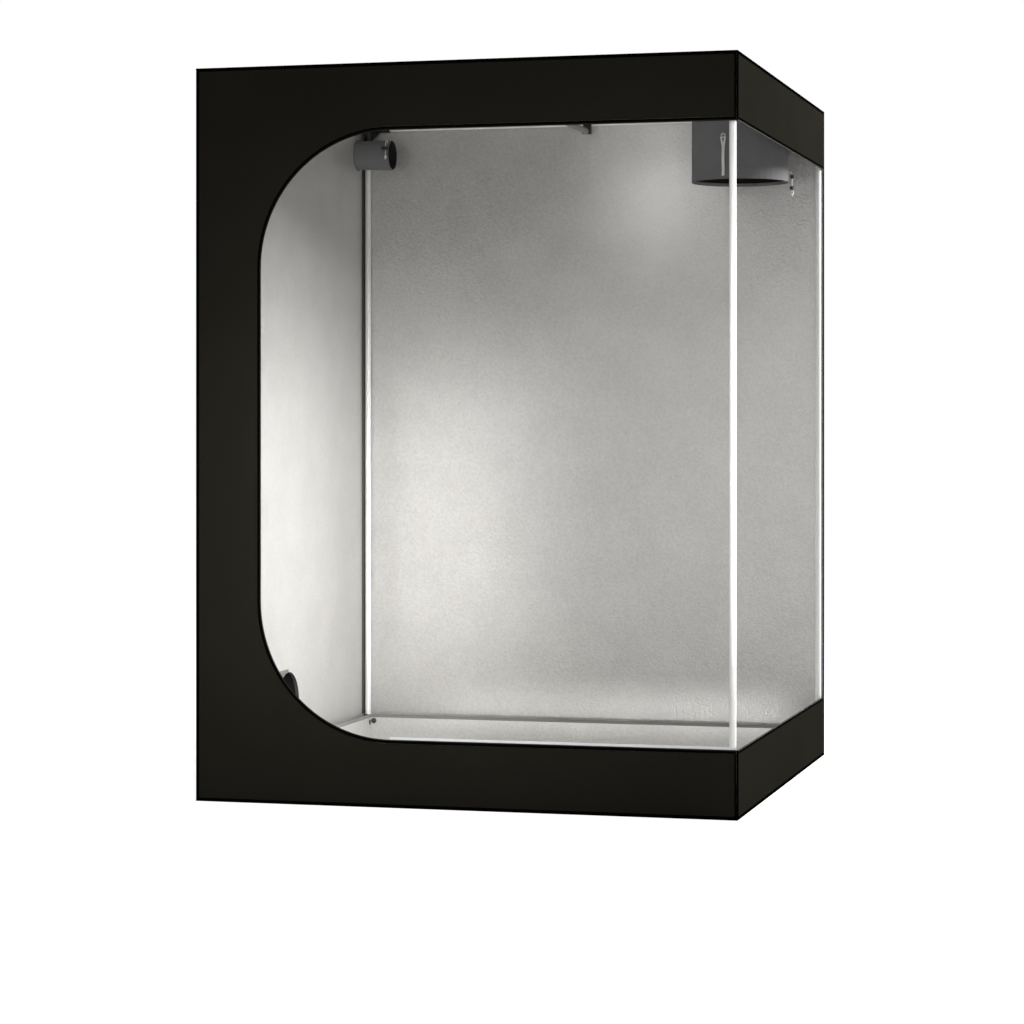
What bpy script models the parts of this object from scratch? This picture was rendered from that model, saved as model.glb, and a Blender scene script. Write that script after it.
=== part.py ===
"""Indoor grow tent: a steel pole frame in a black cover with a silver lining, open at the front and right.

Metres, +Z up. The origin is on the floor at the middle of the tent, the front faces -Y and the open side +X.
"""

import math

import bmesh
import bpy
from mathutils import Matrix, Vector

# Overall size, over the seams
WIDTH = 1.5
DEPTH = 1.5
HEIGHT = 2.0

# Sheets and the piping along their seams
COVER_THICKNESS = 0.0015
LINING_THICKNESS = 0.0008
PIPING_RADIUS = 0.0025
UPRIGHT_STEP = 0.0001
PIPING_PROUD = 0.0008
GAP = 0.0003

# The door opening, measured to the inner edge of its zip tape
BAND_HEIGHT = 0.183
LEFT_BAND_WIDTH = 0.188
OPENING_RADIUS = 0.365
ZIP_WIDTH = 0.010
ZIP_THICKNESS = 0.0012
SILL_FLAP_PROUD = 0.007
SILL_FLAP_OVERLAP = 0.035
SILL_FLAP_THICKNESS = 0.001

# Frame tubes and the corner connectors that hold them
TUBE_RADIUS = 0.0095
TUBE_WALL = 0.0008
HUB_HALF = 0.013
ARM_RADIUS = 0.0124
ARM_LENGTH = 0.075
SOCKET_START = 0.015
GUSSET_REACH = 0.051
GUSSET_THICKNESS = 0.004

# The sliding bar under the roof and its hooks
ROOF_BAR_DROP = 0.028
HOOK_THICKNESS = 0.0025
HOOK_WIDTH = 0.026
HOOK_REACH = 0.030
HOOK_PLUG_LENGTH = 0.050
HOOK_STEM_HEIGHT = 0.016
HOOK_OUTER_ANGLE = math.radians(200)
HOOK_INNER_ANGLE = math.radians(-8)

# Floor tray
TRAY_HEIGHT = 0.092
TRAY_THICKNESS = 0.0012
BINDING_HEIGHT = 0.010
BINDING_THICKNESS = 0.001

# Duct sleeves
SLEEVE_THICKNESS = 0.0012
FLANGE_WIDTH = 0.011
FLANGE_THICKNESS = 0.001
HEM_PROUD = 0.001
ROOF_SLEEVE_RADIUS = 0.147
ROOF_SLEEVE_LENGTH = 0.230
ROOF_SLEEVE_HEM = 0.038
ROOF_SLEEVE_FROM_RIGHT = 0.225
ROOF_SLEEVE_FROM_BACK = 0.220
CORNER_SLEEVE_RADIUS = 0.046
CORNER_SLEEVE_LENGTH = 0.116
CORNER_SLEEVE_HEM = 0.014
CORNER_SLEEVE_FROM_BACK = 0.080
CORNER_SLEEVE_FROM_TOP = 0.107
SIDE_SLEEVE_RADIUS = 0.0965
SIDE_SLEEVE_LENGTH = 0.110
SIDE_SLEEVE_HEM = 0.016
SIDE_SLEEVE_HEIGHT = 0.193
SIDE_SLEEVE_Y = 0.0

# Flap that closes the side port, folded back against the wall
FLAP_THICKNESS = 0.0016
FLAP_SETBACK = 0.013
FLAP_HEIGHT = 0.203
FLAP_CLEARANCE = 0.002

# Drawcords, their locks and their ends
CORD_RADIUS = 0.0015
LOCK_RADIUS = 0.0065
LOCK_LENGTH = 0.016
LOCK_END_WALL = 0.0010
BUTTON_RADIUS = 0.0045
BUTTON_TRAVEL = 0.004
BUTTON_PROUD = 0.0045
BUTTON_TAIL = 0.001
BEAD_RADIUS = 0.0070
BEAD_HEIGHT = 0.012
KNOT_RADIUS = 0.0055
KNOT_HEIGHT = 0.018
ROOF_CORD_ANGLE = math.radians(10)

# Tie that hangs from an eyelet on the front of the roof sleeve
TIE_ANGLE = math.radians(260)
TIE_DROP = 0.103
TIE_FORK_DROP = 0.136
TIE_END_DROP = 0.224
TIE_WIDTH = 0.009
TIE_SPREAD = 0.0085
TIE_THICKNESS = 0.0016

# Doors, rolled up behind the top bands, and their straps
DOOR_THICKNESS = 0.0016
ROLL_RADIUS = 0.030
ROLL_CORE_RADIUS = 0.006
ROLL_TURNS = 6
ROLL_DROP = 0.115
ROLL_TAIL_DROP = 0.050
ROLL_TAIL_BEND = 0.010
DOOR_MARGIN = 0.012
ROLL_CORNER_CLEARANCE = 0.010
STRAP_THICKNESS = 0.0012
STRAP_WIDTH = 0.020
STRAP_DROP = 0.075
STRAP_END_ANGLE = math.radians(150)
STRAP_SHARES = {("left", "front"): -0.5, ("right", "back"): 0.55}

# Faces round the turned shapes
TUBE_SIDES = 16
PIPING_SIDES = 8
ARC_STEPS = 14
ROOF_SLEEVE_SIDES = 40
CORNER_SLEEVE_SIDES = 24
SIDE_SLEEVE_SIDES = 32
SMALL_SIDES = 12
ROLL_STEPS = 16
STRAP_STEPS = 14
CORD_STEPS = 3
SMOOTH_ANGLE = math.radians(40)
CUT_OVERRUN = 0.002

# Depths of the layers, from the plane of the seams inwards
COVER_IN = PIPING_PROUD + COVER_THICKNESS
LINING_OUT = COVER_IN + GAP
LINING_IN = LINING_OUT + LINING_THICKNESS
EDGE_SETBACK = 2 * PIPING_RADIUS + GAP
HALF_WIDTH = WIDTH / 2
HALF_DEPTH = DEPTH / 2
SHEET_X = HALF_WIDTH - EDGE_SETBACK
SHEET_Y = HALF_DEPTH - EDGE_SETBACK
SHEET_LOW = EDGE_SETBACK
SHEET_HIGH = HEIGHT - EDGE_SETBACK

# Axes of the frame
FRAME_INSET = LINING_IN + GAP + HUB_HALF
FRAME_X = HALF_WIDTH - FRAME_INSET
FRAME_Y = HALF_DEPTH - FRAME_INSET
BASE_Z = COVER_THICKNESS + GAP + HUB_HALF
TOP_Z = HEIGHT - FRAME_INSET
ROOF_BAR_Z = TOP_Z - ROOF_BAR_DROP
TUBE_BORE = TUBE_RADIUS - TUBE_WALL

# Opening edges
OPENING_LEFT = -HALF_WIDTH + LEFT_BAND_WIDTH
OPENING_LOW = BAND_HEIGHT
OPENING_HIGH = HEIGHT - BAND_HEIGHT
BAND_EDGE = ZIP_WIDTH + GAP

# Places of the sleeves
ROOF_SLEEVE_X = HALF_WIDTH - ROOF_SLEEVE_FROM_RIGHT
ROOF_SLEEVE_Y = HALF_DEPTH - ROOF_SLEEVE_FROM_BACK
ROOF_SLEEVE_TOP = HEIGHT - LINING_IN - GAP
ROOF_SLEEVE_LOW = ROOF_SLEEVE_TOP - ROOF_SLEEVE_LENGTH
CORNER_SLEEVE_Y = HALF_DEPTH - CORNER_SLEEVE_FROM_BACK
CORNER_SLEEVE_Z = HEIGHT - CORNER_SLEEVE_FROM_TOP
CORNER_SLEEVE_X = -HALF_WIDTH + LINING_IN + GAP
SIDE_SLEEVE_X = -HALF_WIDTH + PIPING_PROUD - GAP

# Flap, tray and rolls
FLAP_X = -HALF_WIDTH + LINING_IN + GAP + FLAP_THICKNESS / 2
FLAP_HINGE_Y = SIDE_SLEEVE_Y - SIDE_SLEEVE_RADIUS - FLAP_SETBACK
FLAP_WIDTH = 2 * (SIDE_SLEEVE_RADIUS + FLAP_SETBACK)
FLAP_LOW = TRAY_HEIGHT + FLAP_CLEARANCE
TRAY_INSET = FRAME_INSET + HUB_HALF + GAP + BINDING_THICKNESS + GAP
TRAY_X = HALF_WIDTH - TRAY_INSET
TRAY_Y = HALF_DEPTH - TRAY_INSET
TRAY_LOW = COVER_THICKNESS + GAP
TRAY_WALL_TOP = TRAY_HEIGHT - BINDING_THICKNESS - GAP
STRAP_BACK = LINING_IN + GAP + STRAP_THICKNESS / 2
ROLL_DEPTH = LINING_IN + GAP + STRAP_THICKNESS + GAP + ROLL_RADIUS
ROLL_HEIGHT = HEIGHT - ROLL_DROP
ROLL_TAIL_TOP = HEIGHT - ROLL_TAIL_DROP
STRAP_TOP = HEIGHT - STRAP_DROP
ROLL_END = HALF_WIDTH - ROLL_DEPTH - ROLL_RADIUS - STRAP_THICKNESS - ROLL_CORNER_CLEARANCE

# Route of the roof sleeve's drawcord: distance out from the hem, height above the mouth
ROOF_CORD_ROUTE = [
    (0.0004, 0.0302),
    (0.0025, 0.0302),
    (0.0058, 0.0292),
    (0.0080, 0.0262),
    (0.0088, 0.0222),
    (0.0088, 0.0137),
    (0.0088, 0.0037),
    (0.0088, -0.0118),
]
ROOF_LOCK_HEIGHT = 0.0162

# Route of the corner sleeve's drawcord: distance out and height, both from the sleeve's axis
CORNER_CORD_ROUTE = [
    (0.0305, 0.0363),
    (0.0325, 0.0387),
    (0.0360, 0.0415),
    (0.0405, 0.0422),
    (0.0455, 0.0405),
    (0.0500, 0.0365),
    (0.0528, 0.0310),
    (0.0538, 0.0240),
    (0.0538, 0.0120),
    (0.0538, -0.0090),
]
CORNER_LOCK_HEIGHT = 0.0160

COLOURS = {
    "black_canvas": ((0.012, 0.011, 0.009), 0.75, 0.0),
    "silver_lining": ((0.62, 0.62, 0.61), 0.45, 0.3),
    "grey_sleeve": ((0.10, 0.105, 0.11), 0.6, 0.0),
    "black_trim": ((0.004, 0.004, 0.003), 0.7, 0.0),
    "white_tube": ((0.86, 0.86, 0.84), 0.3, 0.0),
    "dark_plastic": ((0.02, 0.021, 0.022), 0.45, 0.0),
    "grey_binding": ((0.13, 0.13, 0.12), 0.7, 0.0),
    "white_cord": ((0.72, 0.72, 0.70), 0.8, 0.0),
    "white_flap": ((0.78, 0.78, 0.77), 0.6, 0.0),
}
CORNERS = ((-1, -1), (1, -1), (-1, 1), (1, 1))
THROUGH = {"x": (1, 2, 0), "y": (0, 2, 1), "z": (0, 1, 2)}


def clear_scene():
    for thing in list(bpy.data.objects):
        bpy.data.objects.remove(thing, do_unlink=True)


def material(slot):
    found = bpy.data.materials.get(slot)
    if found:
        return found
    colour, roughness, metallic = COLOURS[slot]
    made = bpy.data.materials.new(slot)
    made.use_nodes = True
    shader = made.node_tree.nodes["Principled BSDF"]
    shader.inputs["Base Color"].default_value = (*colour, 1.0)
    shader.inputs["Roughness"].default_value = roughness
    shader.inputs["Metallic"].default_value = metallic
    return made


def add(name, shape, slot, smooth=False):
    """Puts a bmesh or a mesh in the scene as one named piece."""
    if isinstance(shape, bmesh.types.BMesh):
        bmesh.ops.recalc_face_normals(shape, faces=shape.faces)
        mesh = bpy.data.meshes.new(name)
        shape.to_mesh(mesh)
        shape.free()
    else:
        mesh = shape
        mesh.name = name
    mesh.materials.clear()
    mesh.materials.append(material(slot))
    if smooth:
        mesh.shade_smooth()
        mesh.set_sharp_from_angle(angle=SMOOTH_ANGLE)
    piece = bpy.data.objects.new(name, mesh)
    bpy.context.collection.objects.link(piece)
    return piece


def hang(name, place, pieces):
    """Parents pieces to an empty on their joint's axis, where they are."""
    empty = bpy.data.objects.new(name, None)
    bpy.context.collection.objects.link(empty)
    empty.location = place
    for piece in pieces:
        piece.data.transform(Matrix.Translation(-Vector(place)))
        piece.parent = empty


def facing(axis):
    """The turn that takes +Z to an axis."""
    return Vector((0, 0, 1)).rotation_difference(Vector(axis).normalized())


def slab(bm, loops, axis, low, high):
    """A flat plate square to an axis, from its outline and then the outlines of its holes."""
    across, up, through = THROUGH[axis]
    edges = []
    for loop in loops:
        corners = []
        for a, b in loop:
            place = [0, 0, 0]
            place[across] = a
            place[up] = b
            place[through] = low
            corners.append(bm.verts.new(place))
        edges += [bm.edges.new(pair) for pair in zip(corners, corners[1:] + corners[:1])]
    filled = bmesh.ops.triangle_fill(bm, use_beauty=True, edges=edges)["geom"]
    faces = [part for part in filled if isinstance(part, bmesh.types.BMFace)]
    grown = bmesh.ops.extrude_face_region(bm, geom=faces)["geom"]
    step = Vector((0, 0, 0))
    step[through] = high - low
    moved = [part for part in grown if isinstance(part, bmesh.types.BMVert)]
    bmesh.ops.translate(bm, verts=moved, vec=step)


def box(bm, low, high):
    """A block between two corners."""
    size = Vector(high) - Vector(low)
    middle = (Vector(high) + Vector(low)) / 2
    place = Matrix.Translation(middle) @ Matrix.Diagonal((*size, 1))
    bmesh.ops.create_cube(bm, size=1, matrix=place)


def rectangle(left, right, low, high):
    return [(left, low), (right, low), (right, high), (left, high)]


def arc(centre, radius, start, end, steps):
    """Points along an arc, both ends included."""
    turns = [start + (end - start) * step / steps for step in range(steps + 1)]
    return [(centre[0] + radius * math.cos(a), centre[1] + radius * math.sin(a)) for a in turns]


def circle(centre, radius, sides):
    return arc(centre, radius, 0, math.tau, sides)[:-1]


def ring(bm, profile, place, axis, sides):
    """A closed profile of (radius, distance along the axis) turned all round an axis."""
    turn = facing(axis)
    rounds = []
    for step in range(sides):
        angle = math.tau * step / sides
        along = (Vector((r * math.cos(angle), r * math.sin(angle), h)) for r, h in profile)
        rounds.append([bm.verts.new(Vector(place) + turn @ point) for point in along])
    for here, after in zip(rounds, rounds[1:] + rounds[:1]):
        for k in range(len(profile)):
            last = k - 1
            bm.faces.new((here[last], here[k], after[k], after[last]))


def turned(bm, stations, place, axis, sides):
    """A solid of stations (radius, distance along the axis) turned about an axis, with flat ends."""
    turn = facing(axis)
    rounds = []
    for r, h in stations:
        points = circle((0, 0), r, sides)
        rounds.append([bm.verts.new(Vector(place) + turn @ Vector((a, b, h))) for a, b in points])
    for here, after in zip(rounds, rounds[1:]):
        for k in range(sides):
            bm.faces.new((here[k - 1], here[k], after[k], after[k - 1]))
    bm.faces.new(rounds[0])
    bm.faces.new(rounds[-1])


def tube(bm, start, end, outer, inner):
    """A round tube between two points, open at both ends."""
    length = (Vector(end) - Vector(start)).length
    profile = [(inner, 0), (outer, 0), (outer, length), (inner, length)]
    ring(bm, profile, start, Vector(end) - Vector(start), TUBE_SIDES)


def square_ring(bm, half_x, half_y, profile):
    """A mitred ring round the tent: each profile point is (outwards, height) from the half sizes."""
    corners = [(1, 1), (-1, 1), (-1, -1), (1, -1)]
    rounds = []
    for sx, sy in corners:
        rounds.append([bm.verts.new((sx * (half_x + o), sy * (half_y + o), h)) for o, h in profile])
    for here, after in zip(rounds, rounds[1:] + rounds[:1]):
        for k in range(len(profile)):
            bm.faces.new((here[k - 1], here[k], after[k], after[k - 1]))


def band_outline(path, thickness):
    """The outline of a strip of even thickness along a flat path."""
    points = [Vector(point) for point in path]
    left, right = [], []
    for k, here in enumerate(points):
        before = points[max(k - 1, 0)]
        after = points[min(k + 1, len(points) - 1)]
        along = (after - before).normalized()
        side = Vector((-along.y, along.x)) * thickness / 2
        left.append(tuple(here + side))
        right.append(tuple(here - side))
    return left + right[::-1]


def scratch(shape):
    """A helper object for a Boolean, left out of the build."""
    bmesh.ops.recalc_face_normals(shape, faces=shape.faces)
    mesh = bpy.data.meshes.new("helper")
    shape.to_mesh(mesh)
    shape.free()
    helper = bpy.data.objects.new("helper", mesh)
    helper.hide_render = True
    helper.display_type = "WIRE"
    bpy.context.collection.objects.link(helper)
    return helper


def carved(body, joins, cuts):
    """The mesh of a body with other shapes joined to it and then cut from it."""
    main = scratch(body)
    tools = [(scratch(shape), kind) for shape, kind in ((joins, "UNION"), (cuts, "DIFFERENCE")) if shape]
    for tool, kind in tools:
        step = main.modifiers.new(kind.title(), "BOOLEAN")
        step.operation = kind
        step.object = tool
        step.use_self = True
    graph = bpy.context.evaluated_depsgraph_get()
    mesh = bpy.data.meshes.new_from_object(main.evaluated_get(graph))
    for helper in [main] + [tool for tool, kind in tools]:
        bpy.data.objects.remove(helper, do_unlink=True)
    return mesh


def door_edge(grow):
    """The front opening's edge, from its upper right end round to its lower right end."""
    middle = OPENING_LEFT + OPENING_RADIUS
    radius = OPENING_RADIUS + grow
    quarter = math.pi / 2
    upper = arc((middle, OPENING_HIGH - OPENING_RADIUS), radius, quarter, 2 * quarter, ARC_STEPS)
    lower = arc((middle, OPENING_LOW + OPENING_RADIUS), radius, 2 * quarter, 3 * quarter, ARC_STEPS)
    return [(SHEET_X, OPENING_HIGH + grow)] + upper + lower + [(SHEET_X, OPENING_LOW - grow)]


def wall(name, axis, side, loops, lining):
    """One sheet of a wall: the black cover, or the silver lining just inside it."""
    half = HALF_WIDTH if axis == "x" else HALF_DEPTH
    outer, inner = (LINING_OUT, LINING_IN) if lining else (PIPING_PROUD, COVER_IN)
    bm = bmesh.new()
    slab(bm, loops, axis, side * (half - outer), side * (half - inner))
    add(name, bm, "silver_lining" if lining else "black_canvas")


def make_walls():
    front = [(SHEET_X, SHEET_HIGH), (-SHEET_X, SHEET_HIGH), (-SHEET_X, SHEET_LOW), (SHEET_X, SHEET_LOW)]
    front += door_edge(BAND_EDGE)[::-1]
    corner_bore = CORNER_SLEEVE_RADIUS - SLEEVE_THICKNESS
    side_bore = SIDE_SLEEVE_RADIUS - SLEEVE_THICKNESS
    left = [
        rectangle(-SHEET_Y, SHEET_Y, SHEET_LOW, SHEET_HIGH),
        circle((CORNER_SLEEVE_Y, CORNER_SLEEVE_Z), corner_bore, CORNER_SLEEVE_SIDES),
        circle((SIDE_SLEEVE_Y, SIDE_SLEEVE_HEIGHT), side_bore, SIDE_SLEEVE_SIDES),
    ]
    back = rectangle(-SHEET_X, SHEET_X, SHEET_LOW, SHEET_HIGH)
    right_top = rectangle(-SHEET_Y, SHEET_Y, OPENING_HIGH + BAND_EDGE, SHEET_HIGH)
    right_bottom = rectangle(-SHEET_Y, SHEET_Y, SHEET_LOW, OPENING_LOW - BAND_EDGE)
    for layer, lining in (("cover", False), ("lining", True)):
        wall(f"front_{layer}", "y", -1, [front], lining)
        wall(f"left_{layer}", "x", -1, left, lining)
        wall(f"back_{layer}", "y", 1, [back], lining)
        wall(f"right_top_{layer}", "x", 1, [right_top], lining)
        wall(f"right_bottom_{layer}", "x", 1, [right_bottom], lining)


def make_roof_and_floor():
    edge = rectangle(-SHEET_X, SHEET_X, -SHEET_Y, SHEET_Y)
    bore = ROOF_SLEEVE_RADIUS - SLEEVE_THICKNESS
    hole = circle((ROOF_SLEEVE_X, ROOF_SLEEVE_Y), bore, ROOF_SLEEVE_SIDES)
    bm = bmesh.new()
    slab(bm, [edge, hole], "z", HEIGHT - PIPING_PROUD, HEIGHT - COVER_IN)
    add("roof_cover", bm, "black_canvas")
    bm = bmesh.new()
    slab(bm, [edge, hole], "z", HEIGHT - LINING_OUT, HEIGHT - LINING_IN)
    add("roof_lining", bm, "silver_lining")
    bm = bmesh.new()
    slab(bm, [edge], "z", 0, COVER_THICKNESS)
    add("floor_cover", bm, "black_canvas")


def make_piping():
    """The piping of every outer seam, as one run: two rings round the tent and the uprights between them."""
    profile = circle((0, 0), PIPING_RADIUS, PIPING_SIDES)
    upright = PIPING_RADIUS - UPRIGHT_STEP
    half_x, half_y = HALF_WIDTH - PIPING_RADIUS, HALF_DEPTH - PIPING_RADIUS
    bottom = bmesh.new()
    square_ring(bottom, half_x, half_y, [(o, h + PIPING_RADIUS) for o, h in profile])
    joins = bmesh.new()
    square_ring(joins, half_x, half_y, [(o, h + HEIGHT - PIPING_RADIUS) for o, h in profile])
    low, high = PIPING_RADIUS, HEIGHT - PIPING_RADIUS
    runs = [
        (-1, -1, low, high),
        (-1, 1, low, high),
        (1, 1, low, high),
        (1, -1, low, OPENING_LOW),
        (1, -1, OPENING_HIGH, high),
    ]
    for sx, sy, start, end in runs:
        place = (sx * half_x, sy * half_y, start)
        turned(joins, [(upright, 0), (upright, end - start)], place, (0, 0, 1), PIPING_SIDES)
    add("seam_piping", carved(bottom, joins, None), "black_trim", smooth=True)


def make_zips():
    outer = -HALF_DEPTH + PIPING_PROUD
    bm = bmesh.new()
    slab(bm, [door_edge(ZIP_WIDTH) + door_edge(0)[::-1]], "y", outer, outer + ZIP_THICKNESS)
    add("front_zip_tape", bm, "black_trim")
    outer = HALF_WIDTH - PIPING_PROUD
    bm = bmesh.new()
    edge = [
        (-SHEET_Y, OPENING_LOW - ZIP_WIDTH),
        (SHEET_Y, OPENING_LOW - ZIP_WIDTH),
        (SHEET_Y, OPENING_HIGH + ZIP_WIDTH),
        (-SHEET_Y, OPENING_HIGH + ZIP_WIDTH),
        (-SHEET_Y, OPENING_HIGH),
        (SHEET_Y - ZIP_WIDTH, OPENING_HIGH),
        (SHEET_Y - ZIP_WIDTH, OPENING_LOW),
        (-SHEET_Y, OPENING_LOW),
    ]
    slab(bm, [edge], "x", outer - ZIP_THICKNESS, outer)
    add("side_zip_tape", bm, "black_trim")
    low, high = OPENING_LOW - SILL_FLAP_OVERLAP, OPENING_LOW + SILL_FLAP_PROUD
    inner = -HALF_DEPTH + LINING_IN + GAP
    bm = bmesh.new()
    sill = rectangle(OPENING_LEFT + OPENING_RADIUS, SHEET_X, low, high)
    slab(bm, [sill], "y", inner, inner + SILL_FLAP_THICKNESS)
    add("sill_flap", bm, "white_flap")


def corner_name(sx, sy):
    return f"{'front' if sy < 0 else 'back'}_{'left' if sx < 0 else 'right'}"


def make_poles():
    low = BASE_Z + SOCKET_START + GAP
    high = TOP_Z - SOCKET_START - GAP
    for sx, sy in CORNERS:
        x, y = sx * FRAME_X, sy * FRAME_Y
        bm = bmesh.new()
        tube(bm, (x, y, low), (x, y, high), TUBE_RADIUS, TUBE_BORE)
        add(f"pole_{corner_name(sx, sy)}", bm, "white_tube", smooth=True)


def make_bars():
    """The base and top rails, from socket to socket."""
    reach_x = FRAME_X - SOCKET_START - GAP
    reach_y = FRAME_Y - SOCKET_START - GAP
    for level, height in (("base", BASE_Z), ("top", TOP_Z)):
        runs = {
            "front": ((-reach_x, -FRAME_Y), (reach_x, -FRAME_Y)),
            "back": ((-reach_x, FRAME_Y), (reach_x, FRAME_Y)),
            "left": ((-FRAME_X, -reach_y), (-FRAME_X, reach_y)),
            "right": ((FRAME_X, -reach_y), (FRAME_X, reach_y)),
        }
        for side, (start, end) in runs.items():
            bm = bmesh.new()
            tube(bm, (*start, height), (*end, height), TUBE_RADIUS, TUBE_BORE)
            add(f"{level}_bar_{side}", bm, "white_tube", smooth=True)


def connector():
    """A corner connector at the origin, with sockets along +X, +Y and +Z and a web under each side rail."""
    body = bmesh.new()
    bmesh.ops.create_cube(body, size=2 * HUB_HALF)
    bmesh.ops.bevel(body, geom=body.edges, offset=2 * PIPING_RADIUS, segments=1, affect="EDGES")
    joins = bmesh.new()
    cuts = bmesh.new()
    for axis in ((1, 0, 0), (0, 1, 0), (0, 0, 1)):
        turned(joins, [(ARM_RADIUS, 0), (ARM_RADIUS, ARM_LENGTH)], (0, 0, 0), axis, TUBE_SIDES)
        bore = [(TUBE_RADIUS + GAP, SOCKET_START), (TUBE_RADIUS + GAP, ARM_LENGTH + CUT_OVERRUN)]
        turned(cuts, bore, (0, 0, 0), axis, TUBE_SIDES)
    web = [(0, 0), (GUSSET_REACH, 0), (0, GUSSET_REACH)]
    for axis in ("x", "y"):
        slab(joins, [web], axis, -GUSSET_THICKNESS / 2, GUSSET_THICKNESS / 2)
    return carved(body, joins, cuts)


def make_corners():
    pattern = connector()
    for level, height, up in (("base", BASE_Z, 1), ("top", TOP_Z, -1)):
        for sx, sy in CORNERS:
            mesh = pattern.copy()
            place = Matrix.Translation((sx * FRAME_X, sy * FRAME_Y, height))
            mesh.transform(place @ Matrix.Diagonal((-sx, -sy, up, 1)))
            if sx * sy * up < 0:
                mesh.flip_normals()
            add(f"{level}_corner_{corner_name(sx, sy)}", mesh, "dark_plastic", smooth=True)
    bpy.data.meshes.remove(pattern)


def hook(side):
    """The hook at one end of the roof bar: an arch over the rail, a stem and a plug for the tube."""
    inner = TUBE_RADIUS + GAP
    outer = inner + HOOK_THICKNESS
    stem_end = HOOK_REACH - GAP
    stem_low = -ROOF_BAR_DROP - HOOK_STEM_HEIGHT / 2
    stem_high = -ROOF_BAR_DROP + HOOK_STEM_HEIGHT / 2
    outline = arc((0, 0), outer, HOOK_OUTER_ANGLE, 0, ARC_STEPS)
    outline += [(stem_end, stem_high), (stem_end, stem_low), (inner, stem_low)]
    outline += arc((0, 0), inner, HOOK_INNER_ANGLE, HOOK_OUTER_ANGLE, ARC_STEPS)
    body = bmesh.new()
    slab(body, [outline], "x", -HOOK_WIDTH / 2, HOOK_WIDTH / 2)
    joins = bmesh.new()
    plug = [(TUBE_BORE - GAP, stem_end - HOOK_THICKNESS), (TUBE_BORE - GAP, stem_end + HOOK_PLUG_LENGTH)]
    turned(joins, plug, (0, 0, -ROOF_BAR_DROP), (0, 1, 0), TUBE_SIDES)
    mesh = carved(body, joins, None)
    mesh.transform(Matrix.Translation((0, side * FRAME_Y, TOP_Z)) @ Matrix.Diagonal((-side, -side, 1, 1)))
    return mesh


def make_roof_bar():
    reach = FRAME_Y - HOOK_REACH
    bm = bmesh.new()
    tube(bm, (0, -reach, ROOF_BAR_Z), (0, reach, ROOF_BAR_Z), TUBE_RADIUS, TUBE_BORE)
    pieces = [add("roof_bar", bm, "white_tube", smooth=True)]
    pieces.append(add("roof_bar_hook_front", hook(-1), "dark_plastic"))
    pieces.append(add("roof_bar_hook_back", hook(1), "dark_plastic"))
    hang("roof_bar_slide", (0, 0, ROOF_BAR_Z), pieces)


def make_tray():
    """An open tray of waterproof sheet and the binding over its rim."""
    bm = bmesh.new()
    inner = -TRAY_THICKNESS
    floor = TRAY_LOW + TRAY_THICKNESS
    profile = [(0, TRAY_LOW), (0, TRAY_WALL_TOP), (inner, TRAY_WALL_TOP), (inner, floor)]
    corners = [(1, 1), (-1, 1), (-1, -1), (1, -1)]
    rounds = []
    for sx, sy in corners:
        rounds.append([bm.verts.new((sx * (TRAY_X + o), sy * (TRAY_Y + o), h)) for o, h in profile])
    for here, after in zip(rounds, rounds[1:] + rounds[:1]):
        for k in range(1, len(profile)):
            bm.faces.new((here[k - 1], here[k], after[k], after[k - 1]))
    bm.faces.new([column[0] for column in rounds])
    bm.faces.new([column[-1] for column in rounds])
    add("floor_tray", bm, "silver_lining")
    bm = bmesh.new()
    outer = GAP + BINDING_THICKNESS
    low = TRAY_HEIGHT - BINDING_HEIGHT
    inside = -TRAY_THICKNESS - GAP
    rim = TRAY_WALL_TOP + GAP
    profile = [
        (GAP, low),
        (outer, low),
        (outer, TRAY_HEIGHT),
        (inside - BINDING_THICKNESS, TRAY_HEIGHT),
        (inside - BINDING_THICKNESS, low),
        (inside, low),
        (inside, rim),
        (GAP, rim),
    ]
    square_ring(bm, TRAY_X, TRAY_Y, profile)
    add("tray_binding", bm, "grey_binding")


def sleeve(name, radius, length, hem, place, axis, sides, slot):
    """A fabric tube sewn to a wall by its flange, with a hem for the drawcord at its mouth."""
    bore = radius - SLEEVE_THICKNESS
    profile = [
        (bore, 0),
        (radius + FLANGE_WIDTH, 0),
        (radius + FLANGE_WIDTH, FLANGE_THICKNESS),
        (radius, FLANGE_THICKNESS),
        (radius, length - hem),
        (radius + HEM_PROUD, length - hem),
        (radius + HEM_PROUD, length),
        (bore, length),
    ]
    bm = bmesh.new()
    ring(bm, profile, place, axis, sides)
    add(name, bm, slot, smooth=True)


def make_sleeves():
    sleeve(
        "roof_duct_sleeve",
        ROOF_SLEEVE_RADIUS,
        ROOF_SLEEVE_LENGTH,
        ROOF_SLEEVE_HEM,
        (ROOF_SLEEVE_X, ROOF_SLEEVE_Y, ROOF_SLEEVE_TOP),
        (0, 0, -1),
        ROOF_SLEEVE_SIDES,
        "grey_sleeve",
    )
    sleeve(
        "corner_duct_sleeve",
        CORNER_SLEEVE_RADIUS,
        CORNER_SLEEVE_LENGTH,
        CORNER_SLEEVE_HEM,
        (CORNER_SLEEVE_X, CORNER_SLEEVE_Y, CORNER_SLEEVE_Z),
        (1, 0, 0),
        CORNER_SLEEVE_SIDES,
        "grey_sleeve",
    )
    sleeve(
        "side_duct_sleeve",
        SIDE_SLEEVE_RADIUS,
        SIDE_SLEEVE_LENGTH,
        SIDE_SLEEVE_HEM,
        (SIDE_SLEEVE_X, SIDE_SLEEVE_Y, SIDE_SLEEVE_HEIGHT),
        (-1, 0, 0),
        SIDE_SLEEVE_SIDES,
        "black_canvas",
    )


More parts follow.
